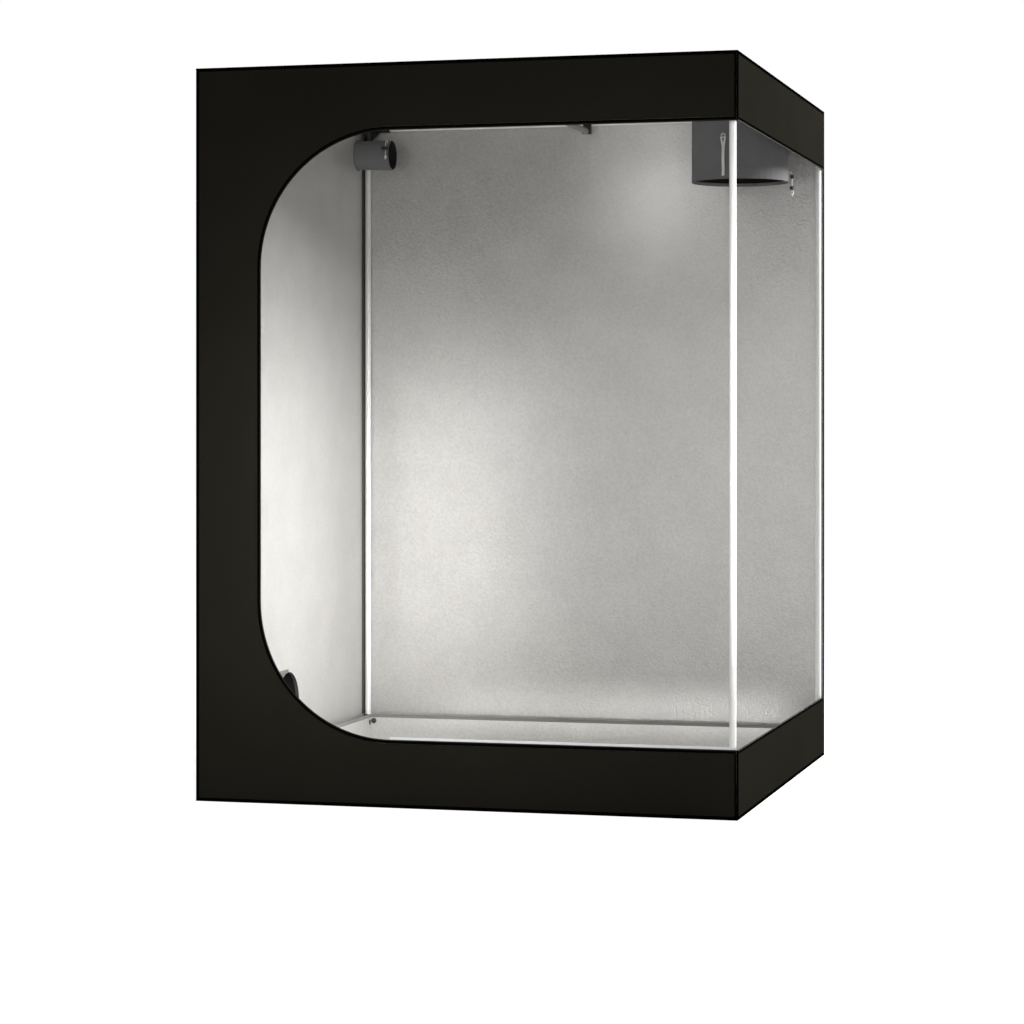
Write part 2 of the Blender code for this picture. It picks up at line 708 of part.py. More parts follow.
def make_port_flap():
    bm = bmesh.new()
    near = FLAP_HINGE_Y - GAP
    panel = rectangle(near - FLAP_WIDTH, near, FLAP_LOW, FLAP_LOW + FLAP_HEIGHT)
    slab(bm, [panel], "x", FLAP_X - FLAP_THICKNESS / 2, FLAP_X + FLAP_THICKNESS / 2)
    flap = add("side_port_flap", bm, "silver_lining")
    hang("port_flap_hinge", (FLAP_X, FLAP_HINGE_Y, FLAP_LOW + FLAP_HEIGHT / 2), [flap])


def smoothed(points, steps):
    """A smooth curve through route points."""
    route = [Vector(point) for point in points]
    ends = [2 * route[0] - route[1]] + route + [2 * route[-1] - route[-2]]
    curve = []
    for a, b, c, d in zip(ends, ends[1:], ends[2:], ends[3:]):
        for step in range(steps):
            t = step / steps
            bend = (2 * a - 5 * b + 4 * c - d) * t * t + (3 * b - a - 3 * c + d) * t * t * t
            curve.append(b + ((c - a) * t + bend) / 2)
    return curve + [route[-1]]


def lifted(route, out, up):
    """A drawcord's route moved out and up to the place that it is measured from."""
    return [(out + distance, up + height) for distance, height in route]


def cord(name, foot, out, route):
    """A round cord along a smooth route in the upright plane through a foot point and a direction."""
    points = smoothed(route, CORD_STEPS)
    data = bpy.data.curves.new(name, "CURVE")
    data.dimensions = "3D"
    data.bevel_depth = CORD_RADIUS
    data.bevel_resolution = 2
    data.use_fill_caps = True
    spline = data.splines.new("POLY")
    spline.points.add(len(points) - 1)
    for knot, (distance, height) in zip(spline.points, points):
        knot.co = (foot[0] + out[0] * distance, foot[1] + out[1] * distance, height, 1)
    data.materials.append(material("white_cord"))
    piece = bpy.data.objects.new(name, data)
    bpy.context.collection.objects.link(piece)


def lock_frame(foot, out, route, height):
    """The place of a cord lock: local +X points outwards along the cords' plane and +Z up."""
    distance = route[-1][0]
    x_axis = Vector((out[0], out[1], 0)).normalized()
    y_axis = Vector((0, 0, 1)).cross(x_axis)
    turn = Matrix((x_axis, y_axis, (0, 0, 1))).transposed().to_4x4()
    place = Vector((foot[0] + out[0] * distance, foot[1] + out[1] * distance, height))
    return Matrix.Translation(place) @ turn


def lock_part(radius, start, end):
    """A cylinder along the button's way through a lock."""
    bm = bmesh.new()
    turned(bm, [(radius, start), (radius, end)], (0, 0, 0), (0, 1, 0), SMALL_SIDES)
    return bm


def lock_slot(front, back, width):
    """The block that leaves a way for the cords through a lock or its button."""
    bm = bmesh.new()
    reach = LOCK_RADIUS + CUT_OVERRUN
    box(bm, (-width / 2, front, -reach), (width / 2, back, reach))
    return bm


def make_lock(name, frame):
    """A barrel with a cross hole for the cords and a sprung button, which slides along the cords."""
    half = LOCK_LENGTH / 2
    around = CORD_RADIUS + GAP
    way = 2 * around
    cuts = lock_slot(-around, around, way)
    bore = [(BUTTON_RADIUS + GAP, -half - CUT_OVERRUN), (BUTTON_RADIUS + GAP, half - LOCK_END_WALL)]
    turned(cuts, bore, (0, 0, 0), (0, 1, 0), SMALL_SIDES)
    mesh = carved(lock_part(LOCK_RADIUS, -half, half), None, cuts)
    mesh.transform(frame)
    body = add(f"{name}_cord_lock", mesh, "dark_plastic", smooth=True)
    button = lock_part(BUTTON_RADIUS, -half - BUTTON_PROUD, around + BUTTON_TAIL)
    mesh = carved(button, None, lock_slot(-around - BUTTON_TRAVEL, around, way))
    mesh.transform(frame)
    press = add(f"{name}_lock_button", mesh, "black_trim", smooth=True)
    hang(f"{name}_lock_slide", frame.translation, [body])
    hang(f"{name}_button_press", frame.translation, [press])


def make_cords():
    """The drawcords that show, each with its lock, and the end piece of the longer one."""
    roof_foot = (ROOF_SLEEVE_X, ROOF_SLEEVE_Y)
    roof_out = (math.cos(ROOF_CORD_ANGLE), math.sin(ROOF_CORD_ANGLE))
    corner_foot = (CORNER_SLEEVE_X + CORNER_SLEEVE_LENGTH - CORNER_SLEEVE_HEM / 2, CORNER_SLEEVE_Y)
    corner_out = (0, -1)
    roof_route = lifted(ROOF_CORD_ROUTE, ROOF_SLEEVE_RADIUS + HEM_PROUD, ROOF_SLEEVE_LOW)
    corner_route = lifted(CORNER_CORD_ROUTE, 0, CORNER_SLEEVE_Z)
    cord("roof_cord", roof_foot, roof_out, roof_route)
    make_lock("roof", lock_frame(roof_foot, roof_out, roof_route, ROOF_SLEEVE_LOW + ROOF_LOCK_HEIGHT))
    cord("corner_cord", corner_foot, corner_out, corner_route)
    lock_height = CORNER_SLEEVE_Z + CORNER_LOCK_HEIGHT
    make_lock("corner", lock_frame(corner_foot, corner_out, corner_route, lock_height))
    distance, end = roof_route[-1]
    top = (roof_foot[0] + roof_out[0] * distance, roof_foot[1] + roof_out[1] * distance, end - GAP)
    waist = BEAD_RADIUS / 2
    neck = KNOT_RADIUS / 2
    shape = [
        (waist, 0),
        (BEAD_RADIUS, waist),
        (BEAD_RADIUS, BEAD_HEIGHT - waist),
        (waist, BEAD_HEIGHT),
        (KNOT_RADIUS, BEAD_HEIGHT + KNOT_HEIGHT - KNOT_RADIUS),
        (neck, BEAD_HEIGHT + KNOT_HEIGHT),
    ]
    bm = bmesh.new()
    turned(bm, shape, top, (0, 0, -1), SMALL_SIDES)
    add("roof_cord_end", bm, "dark_plastic", smooth=True)


def make_tie():
    """A flat webbing tie on the front of the roof sleeve, forked at the top where it hangs from its eyelet."""
    half = TIE_WIDTH / 2
    top = HEIGHT - TIE_DROP
    fork = HEIGHT - TIE_FORK_DROP
    right = [
        (half, HEIGHT - TIE_END_DROP),
        (half, fork),
        (TIE_SPREAD, top - half),
        (TIE_SPREAD, top),
        (TIE_SPREAD - half, top),
        (0, fork + half),
    ]
    left = [(-a, b) for a, b in right[-2::-1]]
    bm = bmesh.new()
    inner = ROOF_SLEEVE_RADIUS + HEM_PROUD + GAP
    slab(bm, [right + left], "y", -inner - TIE_THICKNESS, -inner)
    turn = Matrix.Rotation(TIE_ANGLE + math.pi / 2, 4, "Z")
    bm.transform(Matrix.Translation((ROOF_SLEEVE_X, ROOF_SLEEVE_Y, 0)) @ turn)
    add("roof_sleeve_tie", bm, "white_cord")


def roll_path():
    """The rolled door seen from its end: distance in from the seam plane, then height."""
    middle = ROLL_RADIUS - DOOR_THICKNESS / 2
    count = ROLL_TURNS * ROLL_STEPS
    path = []
    for step in range(count + 1):
        share = step / count
        radius = ROLL_CORE_RADIUS + (middle - ROLL_CORE_RADIUS) * share
        angle = math.pi + math.tau * ROLL_TURNS * (1 - share)
        path.append((ROLL_DEPTH + radius * math.cos(angle), ROLL_HEIGHT + radius * math.sin(angle)))
    tail = ROLL_DEPTH - middle
    against = LINING_IN + GAP + DOOR_THICKNESS / 2
    bend_low = ROLL_TAIL_TOP - 2 * ROLL_TAIL_BEND
    path.append((tail, bend_low))
    path.append((against, bend_low + ROLL_TAIL_BEND))
    path.append((against, ROLL_TAIL_TOP))
    return path


def report_roll_gap(path):
    """Prints the least gap between two turns of the roll, measured on the points of its path."""
    turns = path[: ROLL_TURNS * ROLL_STEPS + 1]
    least = min(
        math.dist(here, there)
        for k, here in enumerate(turns)
        for there in turns[k + ROLL_STEPS // 2 :]
    )
    print(f"least gap between turns of a door roll: {(least - DOOR_THICKNESS) * 1000:.2f} mm")


def strap_path():
    """A strap's way down the wall and round the roll, from its end."""
    around = ROLL_DEPTH - STRAP_BACK
    start = math.pi
    end = math.tau + STRAP_END_ANGLE
    path = arc((ROLL_DEPTH, ROLL_HEIGHT), around, start, end, STRAP_STEPS)
    return [(STRAP_BACK, STRAP_TOP)] + path


def make_doors():
    path = roll_path()
    report_roll_gap(path)
    outline = band_outline(path, DOOR_THICKNESS)
    strap = band_outline(strap_path(), STRAP_THICKNESS)
    front = [(-HALF_DEPTH + depth, height) for depth, height in outline]
    side = [(HALF_WIDTH - depth, height) for depth, height in outline]
    front_strap = [(-HALF_DEPTH + depth, height) for depth, height in strap]
    side_strap = [(HALF_WIDTH - depth, height) for depth, height in strap]
    bm = bmesh.new()
    slab(bm, [front], "x", OPENING_LEFT + DOOR_MARGIN, ROLL_END)
    add("front_door_roll", bm, "black_canvas")
    bm = bmesh.new()
    slab(bm, [side], "y", -ROLL_END, FRAME_Y - ARM_RADIUS - ROLL_CORNER_CLEARANCE)
    add("side_door_roll", bm, "black_canvas")
    half = STRAP_WIDTH / 2
    for end, share in STRAP_SHARES.items():
        place = share * ROLL_END
        bm = bmesh.new()
        slab(bm, [front_strap], "x", place - half, place + half)
        add(f"front_roll_strap_{end[0]}", bm, "black_trim")
        bm = bmesh.new()
        slab(bm, [side_strap], "y", place - half, place + half)
        add(f"side_roll_strap_{end[1]}", bm, "black_trim")


def main():
    clear_scene()
    make_walls()
    make_roof_and_floor()
    make_piping()
    make_zips()
    make_poles()
    make_bars()
    make_corners()
    make_roof_bar()
    make_tray()
    make_sleeves()
    make_port_flap()
    make_cords()
    make_tie()
    make_doors()


main()
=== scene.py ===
"""Looks of an indoor grow tent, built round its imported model.

The poles, connectors and locks are the model's own. Every sheet, tape, roll, sleeve and cord of cloth is made
here and stands for the model's plain one. Metres, +Z up; the front faces -Y and the open side +X.
"""

import math

import bmesh
import bpy
from bpy.props import FloatProperty, FloatVectorProperty, IntProperty, PointerProperty
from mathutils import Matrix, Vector, noise


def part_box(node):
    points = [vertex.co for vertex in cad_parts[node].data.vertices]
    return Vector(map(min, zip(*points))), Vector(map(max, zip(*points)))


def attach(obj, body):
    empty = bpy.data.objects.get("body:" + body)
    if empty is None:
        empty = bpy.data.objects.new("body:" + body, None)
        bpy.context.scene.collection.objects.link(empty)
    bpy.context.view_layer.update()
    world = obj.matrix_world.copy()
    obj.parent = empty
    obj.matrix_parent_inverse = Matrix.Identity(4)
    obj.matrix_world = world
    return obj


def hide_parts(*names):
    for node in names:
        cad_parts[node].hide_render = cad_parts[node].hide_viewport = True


bl_info = {
    "name": "Indoor grow tent",
    "version": (1, 0, 0),
    "blender": (4, 5, 0),
    "location": "3D View > Sidebar > Grow tent",
    "description": "Dresses the frame of a grow tent in its cover, lining, doors, sleeves, tray and cords",
    "category": "Object",
}

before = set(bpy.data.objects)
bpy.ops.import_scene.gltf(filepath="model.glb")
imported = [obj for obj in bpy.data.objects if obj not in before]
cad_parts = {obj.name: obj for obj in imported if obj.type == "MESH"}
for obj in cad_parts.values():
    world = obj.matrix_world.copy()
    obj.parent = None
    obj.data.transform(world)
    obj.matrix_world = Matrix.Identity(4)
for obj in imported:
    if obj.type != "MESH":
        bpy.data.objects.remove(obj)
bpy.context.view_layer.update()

# The tent over its seams, and where its sheets end
SEAM, _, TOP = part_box("seam_piping")[1]
(_, COVER_FRONT, SHEET_LOW), (SHEET, COVER_BACK, SHEET_HIGH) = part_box("back_cover")
CALM_WIDTH = 0.04

# Depths of the layers, from the plane of the seams inwards
TAPE_OUT = 0.0002
COVER_OUT, COVER_IN = SEAM - COVER_BACK, SEAM - COVER_FRONT
LINING_IN, LINING_OUT = (SEAM - corner.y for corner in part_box("back_lining"))
FLOOR_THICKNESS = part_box("floor_cover")[1].z
GAP = 0.0003

# The opening, to the inner edge of its zip
ZIP_WIDTH = 0.010
OPENING_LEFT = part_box("front_zip_tape")[0].x + ZIP_WIDTH
OPENING_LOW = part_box("front_zip_tape")[0].z + ZIP_WIDTH
OPENING_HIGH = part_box("front_zip_tape")[1].z - ZIP_WIDTH
OPENING_RADIUS = 0.365
BAND_EDGE = ZIP_WIDTH + GAP
BAND_TOP, BAND_BOTTOM = OPENING_HIGH + BAND_EDGE, OPENING_LOW - BAND_EDGE
ARC_MIDDLE = OPENING_LEFT + OPENING_RADIUS
ARC_HIGH, ARC_LOW = OPENING_HIGH - OPENING_RADIUS, OPENING_LOW + OPENING_RADIUS
ARC_STEPS = 28

# Seams, and stitches and zip teeth as (length, width, height) with their pitch
PIPING_RADIUS = 0.0025
SEAM_TAPE = 0.0045
SEAM_STITCH = ((0.0034, 0.0009, 0.0004), 0.0055)
ZIP_STITCH = ((0.0026, 0.0007, 0.0003), 0.0042)
SLEEVE_STITCH = ((0.0030, 0.0008, 0.0004), 0.0046)
ZIP_TOOTH = ((0.0017, 0.0030, 0.0007), 0.0030)
ZIP_THICKNESS = 0.0012
TEETH_SHARE = 0.16
ZIP_STITCH_SHARES = (0.62, 0.86)

# Floor tray, and the binding on its rim
TRAY_HALF = 0.7187
TRAY_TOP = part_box("tray_binding")[1].z
BINDING_OUT, BINDING_IN = 0.0013, -0.0024
BINDING_DROP = 0.010

# Sleeves: radius, length, hem, foot, direction. The reach of a hole is half the square of cells round it
SLEEVE_THICKNESS = 0.0012
ROOF_SLEEVE = (0.147, 0.230, 0.038, (0.525, 0.530, TOP - LINING_IN - GAP), (0, 0, -1))
CORNER_SLEEVE = (0.046, 0.116, 0.014, (-SEAM + LINING_IN + GAP, 0.670, 1.893), (1, 0, 0))
SIDE_SLEEVE = (0.0965, 0.110, 0.016, (-SEAM + COVER_OUT - GAP, 0.0, 0.193), (-1, 0, 0))
HOLE_REACHES = (0.055, 0.118, 0.175)
SLEEVE_SEAM = math.radians(58)
SLEEVE_SEAM_WIDTH = 0.006
STITCH_LIFT = 0.0001
FLANGE_WIDTH = 0.011
FLANGE_THICKNESS = 0.001
HEM_PROUD = 0.001
# Dark strip on the left lining beside the rear left pole, as (left, right, low, high): painted reflection of
# the pole's dark side
POLE_REFLECTION_STRIP = (0.709, 0.7437, TRAY_TOP + GAP, 1.90)

# Side port: the width of its flap's binding, the depths of its margin, and the share of it that is bound
PORT_BINDING = 0.008
MARGIN_DEPTHS = (LINING_IN + 0.00005, LINING_IN + 0.00012)
MARGIN_TAPE_DEPTHS = (LINING_IN + 0.00012, LINING_IN + 0.00022)
MARGIN_TAPE_SHARE = 0.2

# Camera and floor
CAMERA_PLACE = (2.0523, -7.9341, 1.0297)
CAMERA_AIM = (-0.2568, 0.9665, 0.0)
SENSOR = 36.0
VIEW_END = 200.0
FLOOR_REACH = 30.0

# Lamps: name, place, what they point at, size, spread in degrees, watts
LAMPS = (
    ("side_lamp", (5.4, 1.9, 3.2), (-0.7, 0.1, 0.7), (2.2, 2.2), 180, 380.0),
    ("high_lamp", (0.5, -6.0, 4.5), (0.0, 0.3, 0.4), (2.5, 2.5), 180, 58.0),
    ("low_lamp", (3.2, -7.6, 0.5), (-0.7, 0.3, 0.7), (1.2, 1.2), 180, 41.0),
    ("left_wall_lamp", (3.5, -3.5, 2.0), (-0.745, -0.1, 0.65), (1.0, 1.0), 18, 7.5),
    ("back_wall_lamp", (3.5, -3.5, 1.5), (-0.46, 0.745, 0.70), (0.3, 0.9), 6, 1.1),
    ("inner_lamp", (-0.05, -0.6, 1.87), (0.245, 0.745, 1.78), (0.08, 0.08), 30, 0.034),
    ("foot_lamp", (0.06, 0.1, 0.03), (0.06, 0.745, 0.13), (1.12, 0.01), 20, 0.055),
)

# Drawcords, with their routes as distance out and height from the place that each starts at
CORD_STEPS = 3
ROOF_CORD_ANGLE = math.radians(10)
ROOF_CORD_START = (0.148, 1.7663)
ROOF_CORD_ROUTE = [
    *((0.0004, 0.0302), (0.0025, 0.0302), (0.0058, 0.0292), (0.0080, 0.0262)),
    *((0.0088, 0.0222), (0.0088, 0.0137), (0.0088, 0.0037), (0.0088, -0.0118)),
]
CORNER_CORD_START = (0.0, 1.893)
CORNER_CORD_FOOT = (-0.6373, 0.670)
CORNER_CORD_ROUTE = [
    *((0.0305, 0.0363), (0.0325, 0.0387), (0.0360, 0.0415), (0.0405, 0.0422), (0.0455, 0.0405)),
    *((0.0500, 0.0365), (0.0528, 0.0310), (0.0538, 0.0240), (0.0538, 0.0120), (0.0538, -0.0090)),
]

# Knots as rise over the cord's end, width, height and strand; eyelets and half the bead as (radius, height)
ROOF_KNOT = (-0.0125, 0.0040, 0.0135, 0.0029)
CORNER_KNOT = (0.002, 0.0036, 0.009, 0.0017)
EYELET = ((0.0022, 0), (0.0030, 0.0008), (0.0044, 0.0008), (0.0050, 0), (0.0044, -0.0004), (0.0030, -0.0004))
ROOF_EYELET_OUT = 0.1481
CORNER_EYELET_OUT = 0.0471
BEAD_LENGTH = 0.012
BEAD_HALF = ((0.0028, 0), (0.0058, 0.0012), (0.0070, 0.0042))

# Tie on the front of the roof sleeve
TIE_ANGLE = math.radians(260)
TIE_TOP = 1.897
TIE_FORK = 1.864
TIE_LOW = 1.776
TIE_WIDTH = 0.009
TIE_SPREAD = 0.0085
TIE_CURL = 0.0012
TIE_EYELET = ((0.0026, 0.0002), (0.004, 0.0018), (0.0078, 0.0018), (0.009, 0.0004), (0.0078, 0), (0.004, 0))

# Rolled doors and their straps
DOOR_THICKNESS = 0.0016
ROLL_RADIUS = 0.030
ROLL_CORE = 0.006
ROLL_TURNS = 6
ROLL_STEPS = 16
ROLL_HEIGHT = 1.885
ROLL_TAIL_TOP = 1.950
ROLL_TAIL_BEND = 0.010
ROLL_DEPTH = 0.0352
STRAP_DEPTH = 0.0043
STRAP_THICKNESS = 0.0012
STRAP_TOP = 1.925
STRAP_END = math.radians(150)

WALLS = {
    "front": ((1, 0, 0), (0, 0, 1), (0, -SEAM, 0), (0, 1, 0)),
    "back": ((1, 0, 0), (0, 0, 1), (0, SEAM, 0), (0, -1, 0)),
    "left": ((0, 1, 0), (0, 0, 1), (-SEAM, 0, 0), (1, 0, 0)),
    "right": ((0, 1, 0), (0, 0, 1), (SEAM, 0, 0), (-1, 0, 0)),
    "roof": ((1, 0, 0), (0, 1, 0), (0, 0, TOP), (0, 0, -1)),
    "floor": ((1, 0, 0), (0, 1, 0), (0, 0, 0), (0, 0, 1)),
}
CORNERS = ((1, 1), (-1, 1), (-1, -1), (1, -1))


# Materials


class Wire:
    """An output of a material's node. Python's operators on it add Math nodes."""

    def __init__(self, paint, socket):
        self.paint = paint
        self.socket = socket

    def maths(self, operation, *values):
        return self.paint.node("ShaderNodeMath", {"operation": operation}, values)

    def __add__(self, other):
        return self.maths("ADD", self, other)

    def __sub__(self, other):
        return self.maths("SUBTRACT", self, other)

    def __rsub__(self, other):
        return self.maths("SUBTRACT", other, self)

    def __mul__(self, other):
        return self.maths("MULTIPLY", self, other)

    __radd__ = __add__
    __rmul__ = __mul__

    def wave(self):
        return self.maths("SINE", self)


class Shade:
    """A node tree and the shader in it."""

    def __init__(self, tree, shader):
        self.tree = tree
        self.shader = tree.nodes[shader]

    def join(self, socket, value):
        if isinstance(value, Wire):
            self.tree.links.new(value.socket, socket)
        else:
            socket.default_value = value

    def node(self, kind, settings=None, values=(), output=0):
        """Adds a node: its settings first, then the values or links of its sockets, by place or by name."""
        made = self.tree.nodes.new(kind)
        for key, value in (settings or {}).items():
            if key == "stops":
                for mark, (place, shade) in zip(made.color_ramp.elements, value):
                    mark.position = place
                    mark.color = (shade, shade, shade, 1)
            else:
                setattr(made, key, value)
        for key, value in values.items() if isinstance(values, dict) else enumerate(values):
            self.join(made.inputs[key], value)
        return Wire(self, made.outputs[output])

    def feed(self, **sockets):
        """Sets or links the shader's sockets, by their names in lower case."""
        for name, value in sockets.items():
            self.join(self.shader.inputs[name.replace("_", " ").title().replace("Ior", "IOR")], value)
        return self

    def seen(self):
        """1 where the camera, metal or glass shows this shade, and 0 for the light that it gives."""
        kinds = ("Camera", "Glossy", "Transmission")
        camera, *others = [self.node("ShaderNodeLightPath", output=f"Is {kind} Ray") for kind in kinds]
        for other in others:
            camera = camera.maths("MAXIMUM", camera, other)
        return camera


class Paint(Shade):
    """One material: its Principled shader and the nodes that feed it."""

    def __init__(self, name, colour, roughness, **constants):
        self.material = bpy.data.materials.new(name)
        self.material.use_nodes = True
        self.material.diffuse_color = (*colour, 1)
        super().__init__(self.material.node_tree, "Principled BSDF")
        self.feed(base_color=(*colour, 1), roughness=roughness, **constants)

    def place(self):
        """The place on the piece, in the tent's own frame."""
        return self.node("ShaderNodeTexCoord", output="Object")

    def axes(self):
        place = self.place()
        return [self.node("ShaderNodeSeparateXYZ", None, [place], k) for k in range(3)]

    def noise(self, scale, detail=2.0, rough=0.5):
        values = {"Vector": self.place(), "Scale": scale, "Detail": detail, "Roughness": rough}
        return self.node("ShaderNodeTexNoise", None, values, "Fac")

    def cells(self, scale):
        values = {"Vector": self.place(), "Scale": scale}
        return self.node("ShaderNodeTexVoronoi", None, values, "Distance")

    def ramp(self, value, low, high, low_shade=0.0, high_shade=1.0):
        """A value spread from one range to another, held at its ends."""
        values = [value, low, high, low_shade, high_shade]
        return self.node("ShaderNodeMapRange", {"clamp": True}, values)

    def mix(self, share, first, second):
        values = {0: share, 6: (*first, 1), 7: (*second, 1)}
        return self.node("ShaderNodeMix", {"data_type": "RGBA"}, values, 2)

    def bump(self, height, depth, strength=1.0):
        """Feeds a Bump node: depth is how many metres one unit of height stands for."""
        values = {"Strength": strength, "Distance": depth, "Height": height}
        return self.feed(normal=self.node("ShaderNodeBump", None, values, "Normal"))

    def weave(self, pitch):
        """Threads over and under, at one pitch on whatever way the cloth faces."""
        x, y, z = self.axes()
        turn = math.tau / pitch
        return (x * turn).wave() * 0.33 + (y * turn).wave() * 0.33 + (z * turn).wave() * 0.33


def shaded(colour, share):
    return tuple(min(part * share, 1.0) for part in colour)


def canvas_paint(name, colour, gloss=0.0):
    """Coated woven cloth: fine threads, faint crush marks and slow changes of tone."""
    paint = Paint(name, colour, 0.62, specular_ior_level=gloss)
    cloud = paint.noise(3.1, 4.0, 0.6)
    fleck = paint.noise(640.0, 1.0)
    tone = paint.ramp(cloud * 0.65 + fleck * 0.35, 0.36, 0.64)
    paint.feed(
        base_color=paint.mix(tone, shaded(colour, 0.92), shaded(colour, 1.08)),
        roughness=paint.ramp(cloud, 0.3, 0.7, 0.56, 0.70),
    )
    crush = paint.noise(26.0, 3.0, 0.55)
    return paint.bump(paint.weave(0.0011) * 0.12 + crush, 0.0009, 0.55).material


def foil_paint(name, colour, metallic=0.50, roughness=0.40):
    """Foil-faced cloth: a pebbled foil whose facets catch the light one by one."""
    paint = Paint(name, colour, roughness, metallic=metallic, specular_ior_level=0.5)
    pebble = paint.cells(165.0)
    fleck = paint.noise(120.0, 3.0, 0.6)
    cloud = paint.noise(7.0, 5.0, 0.7)
    tone = paint.ramp(cloud * 0.35 + fleck * 0.65, 0.36, 0.64)
    paint.feed(
        base_color=paint.mix(tone, shaded(colour, 0.90), shaded(colour, 1.10)),
        roughness=paint.ramp(fleck, 0.36, 0.64, roughness - 0.12, roughness + 0.10),
    )
    return paint.bump(pebble * 0.6 + fleck, 0.0009, 0.6).material


def webbing_paint(name, colour, pitch=0.0018, roughness=0.7):
    """Close woven tape, with painted shade between its ribs."""
    paint = Paint(name, colour, roughness, specular_ior_level=0.0)
    rib_and_groove_shade = paint.ramp(paint.weave(pitch), -0.6, 0.6)
    fuzz = paint.noise(900.0, 2.0)
    # The colour follows the ribs' height: painted shade in the grooves
    paint.feed(base_color=paint.mix(rib_and_groove_shade * 0.7 + fuzz * 0.3, shaded(colour, 0.72), shaded(colour, 1.2)))
    return paint.bump(rib_and_groove_shade + fuzz * 0.4, pitch * 0.22, 0.6).material


def enamel_paint(name, colour):
    """Powder coat on steel tube: slight orange peel, a little dust."""
    paint = Paint(name, colour, 0.32, specular_ior_level=0.5)
    peel = paint.noise(520.0, 2.0)
    dust = paint.noise(9.0, 5.0, 0.65)
    paint.feed(
        base_color=paint.mix(paint.ramp(dust, 0.35, 0.7), colour, shaded(colour, 0.95)),
        roughness=paint.ramp(dust, 0.3, 0.7, 0.28, 0.40),
    )
    return paint.bump(peel, 0.00012, 0.5).material


def plastic_paint(name, colour, roughness=0.46):
    """Moulded plastic with a fine spark-eroded grain and rubbed high spots."""
    paint = Paint(name, colour, roughness, specular_ior_level=0.4)
    grain = paint.noise(1500.0, 2.0)
    rub = paint.noise(60.0, 3.0)
    paint.feed(
        base_color=paint.mix(paint.ramp(rub, 0.4, 0.75), colour, shaded(colour, 1.5)),
        roughness=paint.ramp(rub, 0.35, 0.7, roughness + 0.06, roughness - 0.08),
    )
    return paint.bump(grain, 0.00010, 0.5).material


def braid_paint(name, colour):
    """Braided cord: two sets of strands that cross, with painted shade where they dip."""
    paint = Paint(name, colour, 0.75, specular_ior_level=0.2)
    x, y, z = paint.axes()
    turn = math.tau / 0.0016
    strands = ((x + y + z) * turn).wave() * ((x + y - z) * turn).wave()
    shade = paint.ramp(strands, -0.8, 0.8)
    # The colour follows the strands' height: painted shade between them
    paint.feed(base_color=paint.mix(shade, shaded(colour, 0.68), shaded(colour, 1.1)))
    return paint.bump(shade, 0.0003, 0.7).material


def metal_paint(name, colour):
    """Pressed and plated metal with fine brushing."""
    paint = Paint(name, colour, 0.28, metallic=1.0)
    brush = paint.noise(700.0, 3.0)
    paint.feed(roughness=paint.ramp(brush, 0.3, 0.7, 0.2, 0.36))
    return paint.bump(brush, 0.00005, 0.5).material


# Flat nets and the sheets made from them


class Net:
    """A flat net of cells with the share of a sheet's waves that each point takes."""

    def __init__(self):
        self.points = []
        self.fades = []
        self.cells = []
        self.index = {}

    def point(self, place, fade):
        key = tuple(round(part, 6) for part in place)
        if key not in self.index:
            self.index[key] = len(self.points)
            self.points.append(tuple(place))
            self.fades.append(fade)
        return self.index[key]

    def patch(self, rows):
        """Adds the cells between neighbouring rows of (place, fade)."""
        numbers = [[self.point(*entry) for entry in row] for row in rows]
        for low, high in zip(numbers, numbers[1:]):
            for k in range(len(low) - 1):
                cell = [low[k], low[k + 1], high[k + 1], high[k]]
                if len(set(cell)) == len(cell):
                    self.cells.append(cell)
        return self

    def rim(self):
        """The net's outer edges, each in the direction of its cell."""
        edges = {(cell[k - 1], cell[k]) for cell in self.cells for k in range(len(cell))}
        return [edge for edge in edges if edge[::-1] not in edges]

    def area(self):
        total = 0
        for cell in self.cells:
            places = [Vector(self.points[k]) for k in cell]
            total += (places[2] - places[0]).to_3d().cross((places[3] - places[1]).to_3d()).length / 2
        return total


def eased(share):
    share = min(max(share, 0), 1)
    return share * share * (3 - 2 * share)


def spread(start, end, step):
    """Values from start to end, about a step apart, both ends included."""
    count = max(round(abs(end - start) / step), 1)
    return [start + (end - start) * k / count for k in range(count + 1)]


def between(near, far, share):
    """The place that is a share of the way from one to another."""
    return tuple(a + (b - a) * share for a, b in zip(near, far))


def path_between(near, far, share):
    return [between(a, b, share) for a, b in zip(near, far)]


def rectangle_net(left, right, low, high, step, fade_width=0.06, holes=()):
    """A net over a rectangle. A hole is (u, v, radius, reach), in a square of cells twice its reach wide."""
    net = Net()

    def fade(u, v):
        near = min(u - left, right - u, v - low, high - v)
        for a, b, radius, reach in holes:
            near = min(near, math.dist((u, v), (a, b)) - radius)
        return eased(near / fade_width)

    marks_u = sorted({left, right} | {a + way * reach for a, b, radius, reach in holes for way in (-1, 1)})
    marks_v = sorted({low, high} | {b + way * reach for a, b, radius, reach in holes for way in (-1, 1)})
    for u0, u1 in zip(marks_u, marks_u[1:]):
        for v0, v1 in zip(marks_v, marks_v[1:]):
            us, vs = spread(u0, u1, step), spread(v0, v1, step)
            inside = [h for h in holes if u0 < h[0] < u1 and v0 < h[1] < v1]
            if not inside:
                net.patch([[((u, v), fade(u, v)) for u in us] for v in vs])
                continue
            a, b, radius, reach = inside[0]
            edge = [(u, v0) for u in us] + [(u1, v) for v in vs[1:]]
            edge += [(u, v1) for u in us[-2::-1]] + [(u0, v) for v in vs[-2::-1]]
            rows = []
            for share in spread(0, 1, step / (reach - radius)):
                row = []
                for u, v in edge:
                    away = math.dist((u, v), (a, b))
                    scale = 1 + (radius / away - 1) * share
                    place = (a + (u - a) * scale, b + (v - b) * scale)
                    row.append((place, fade(*place)))
                rows.append(row)
            net.patch(rows)
    return net


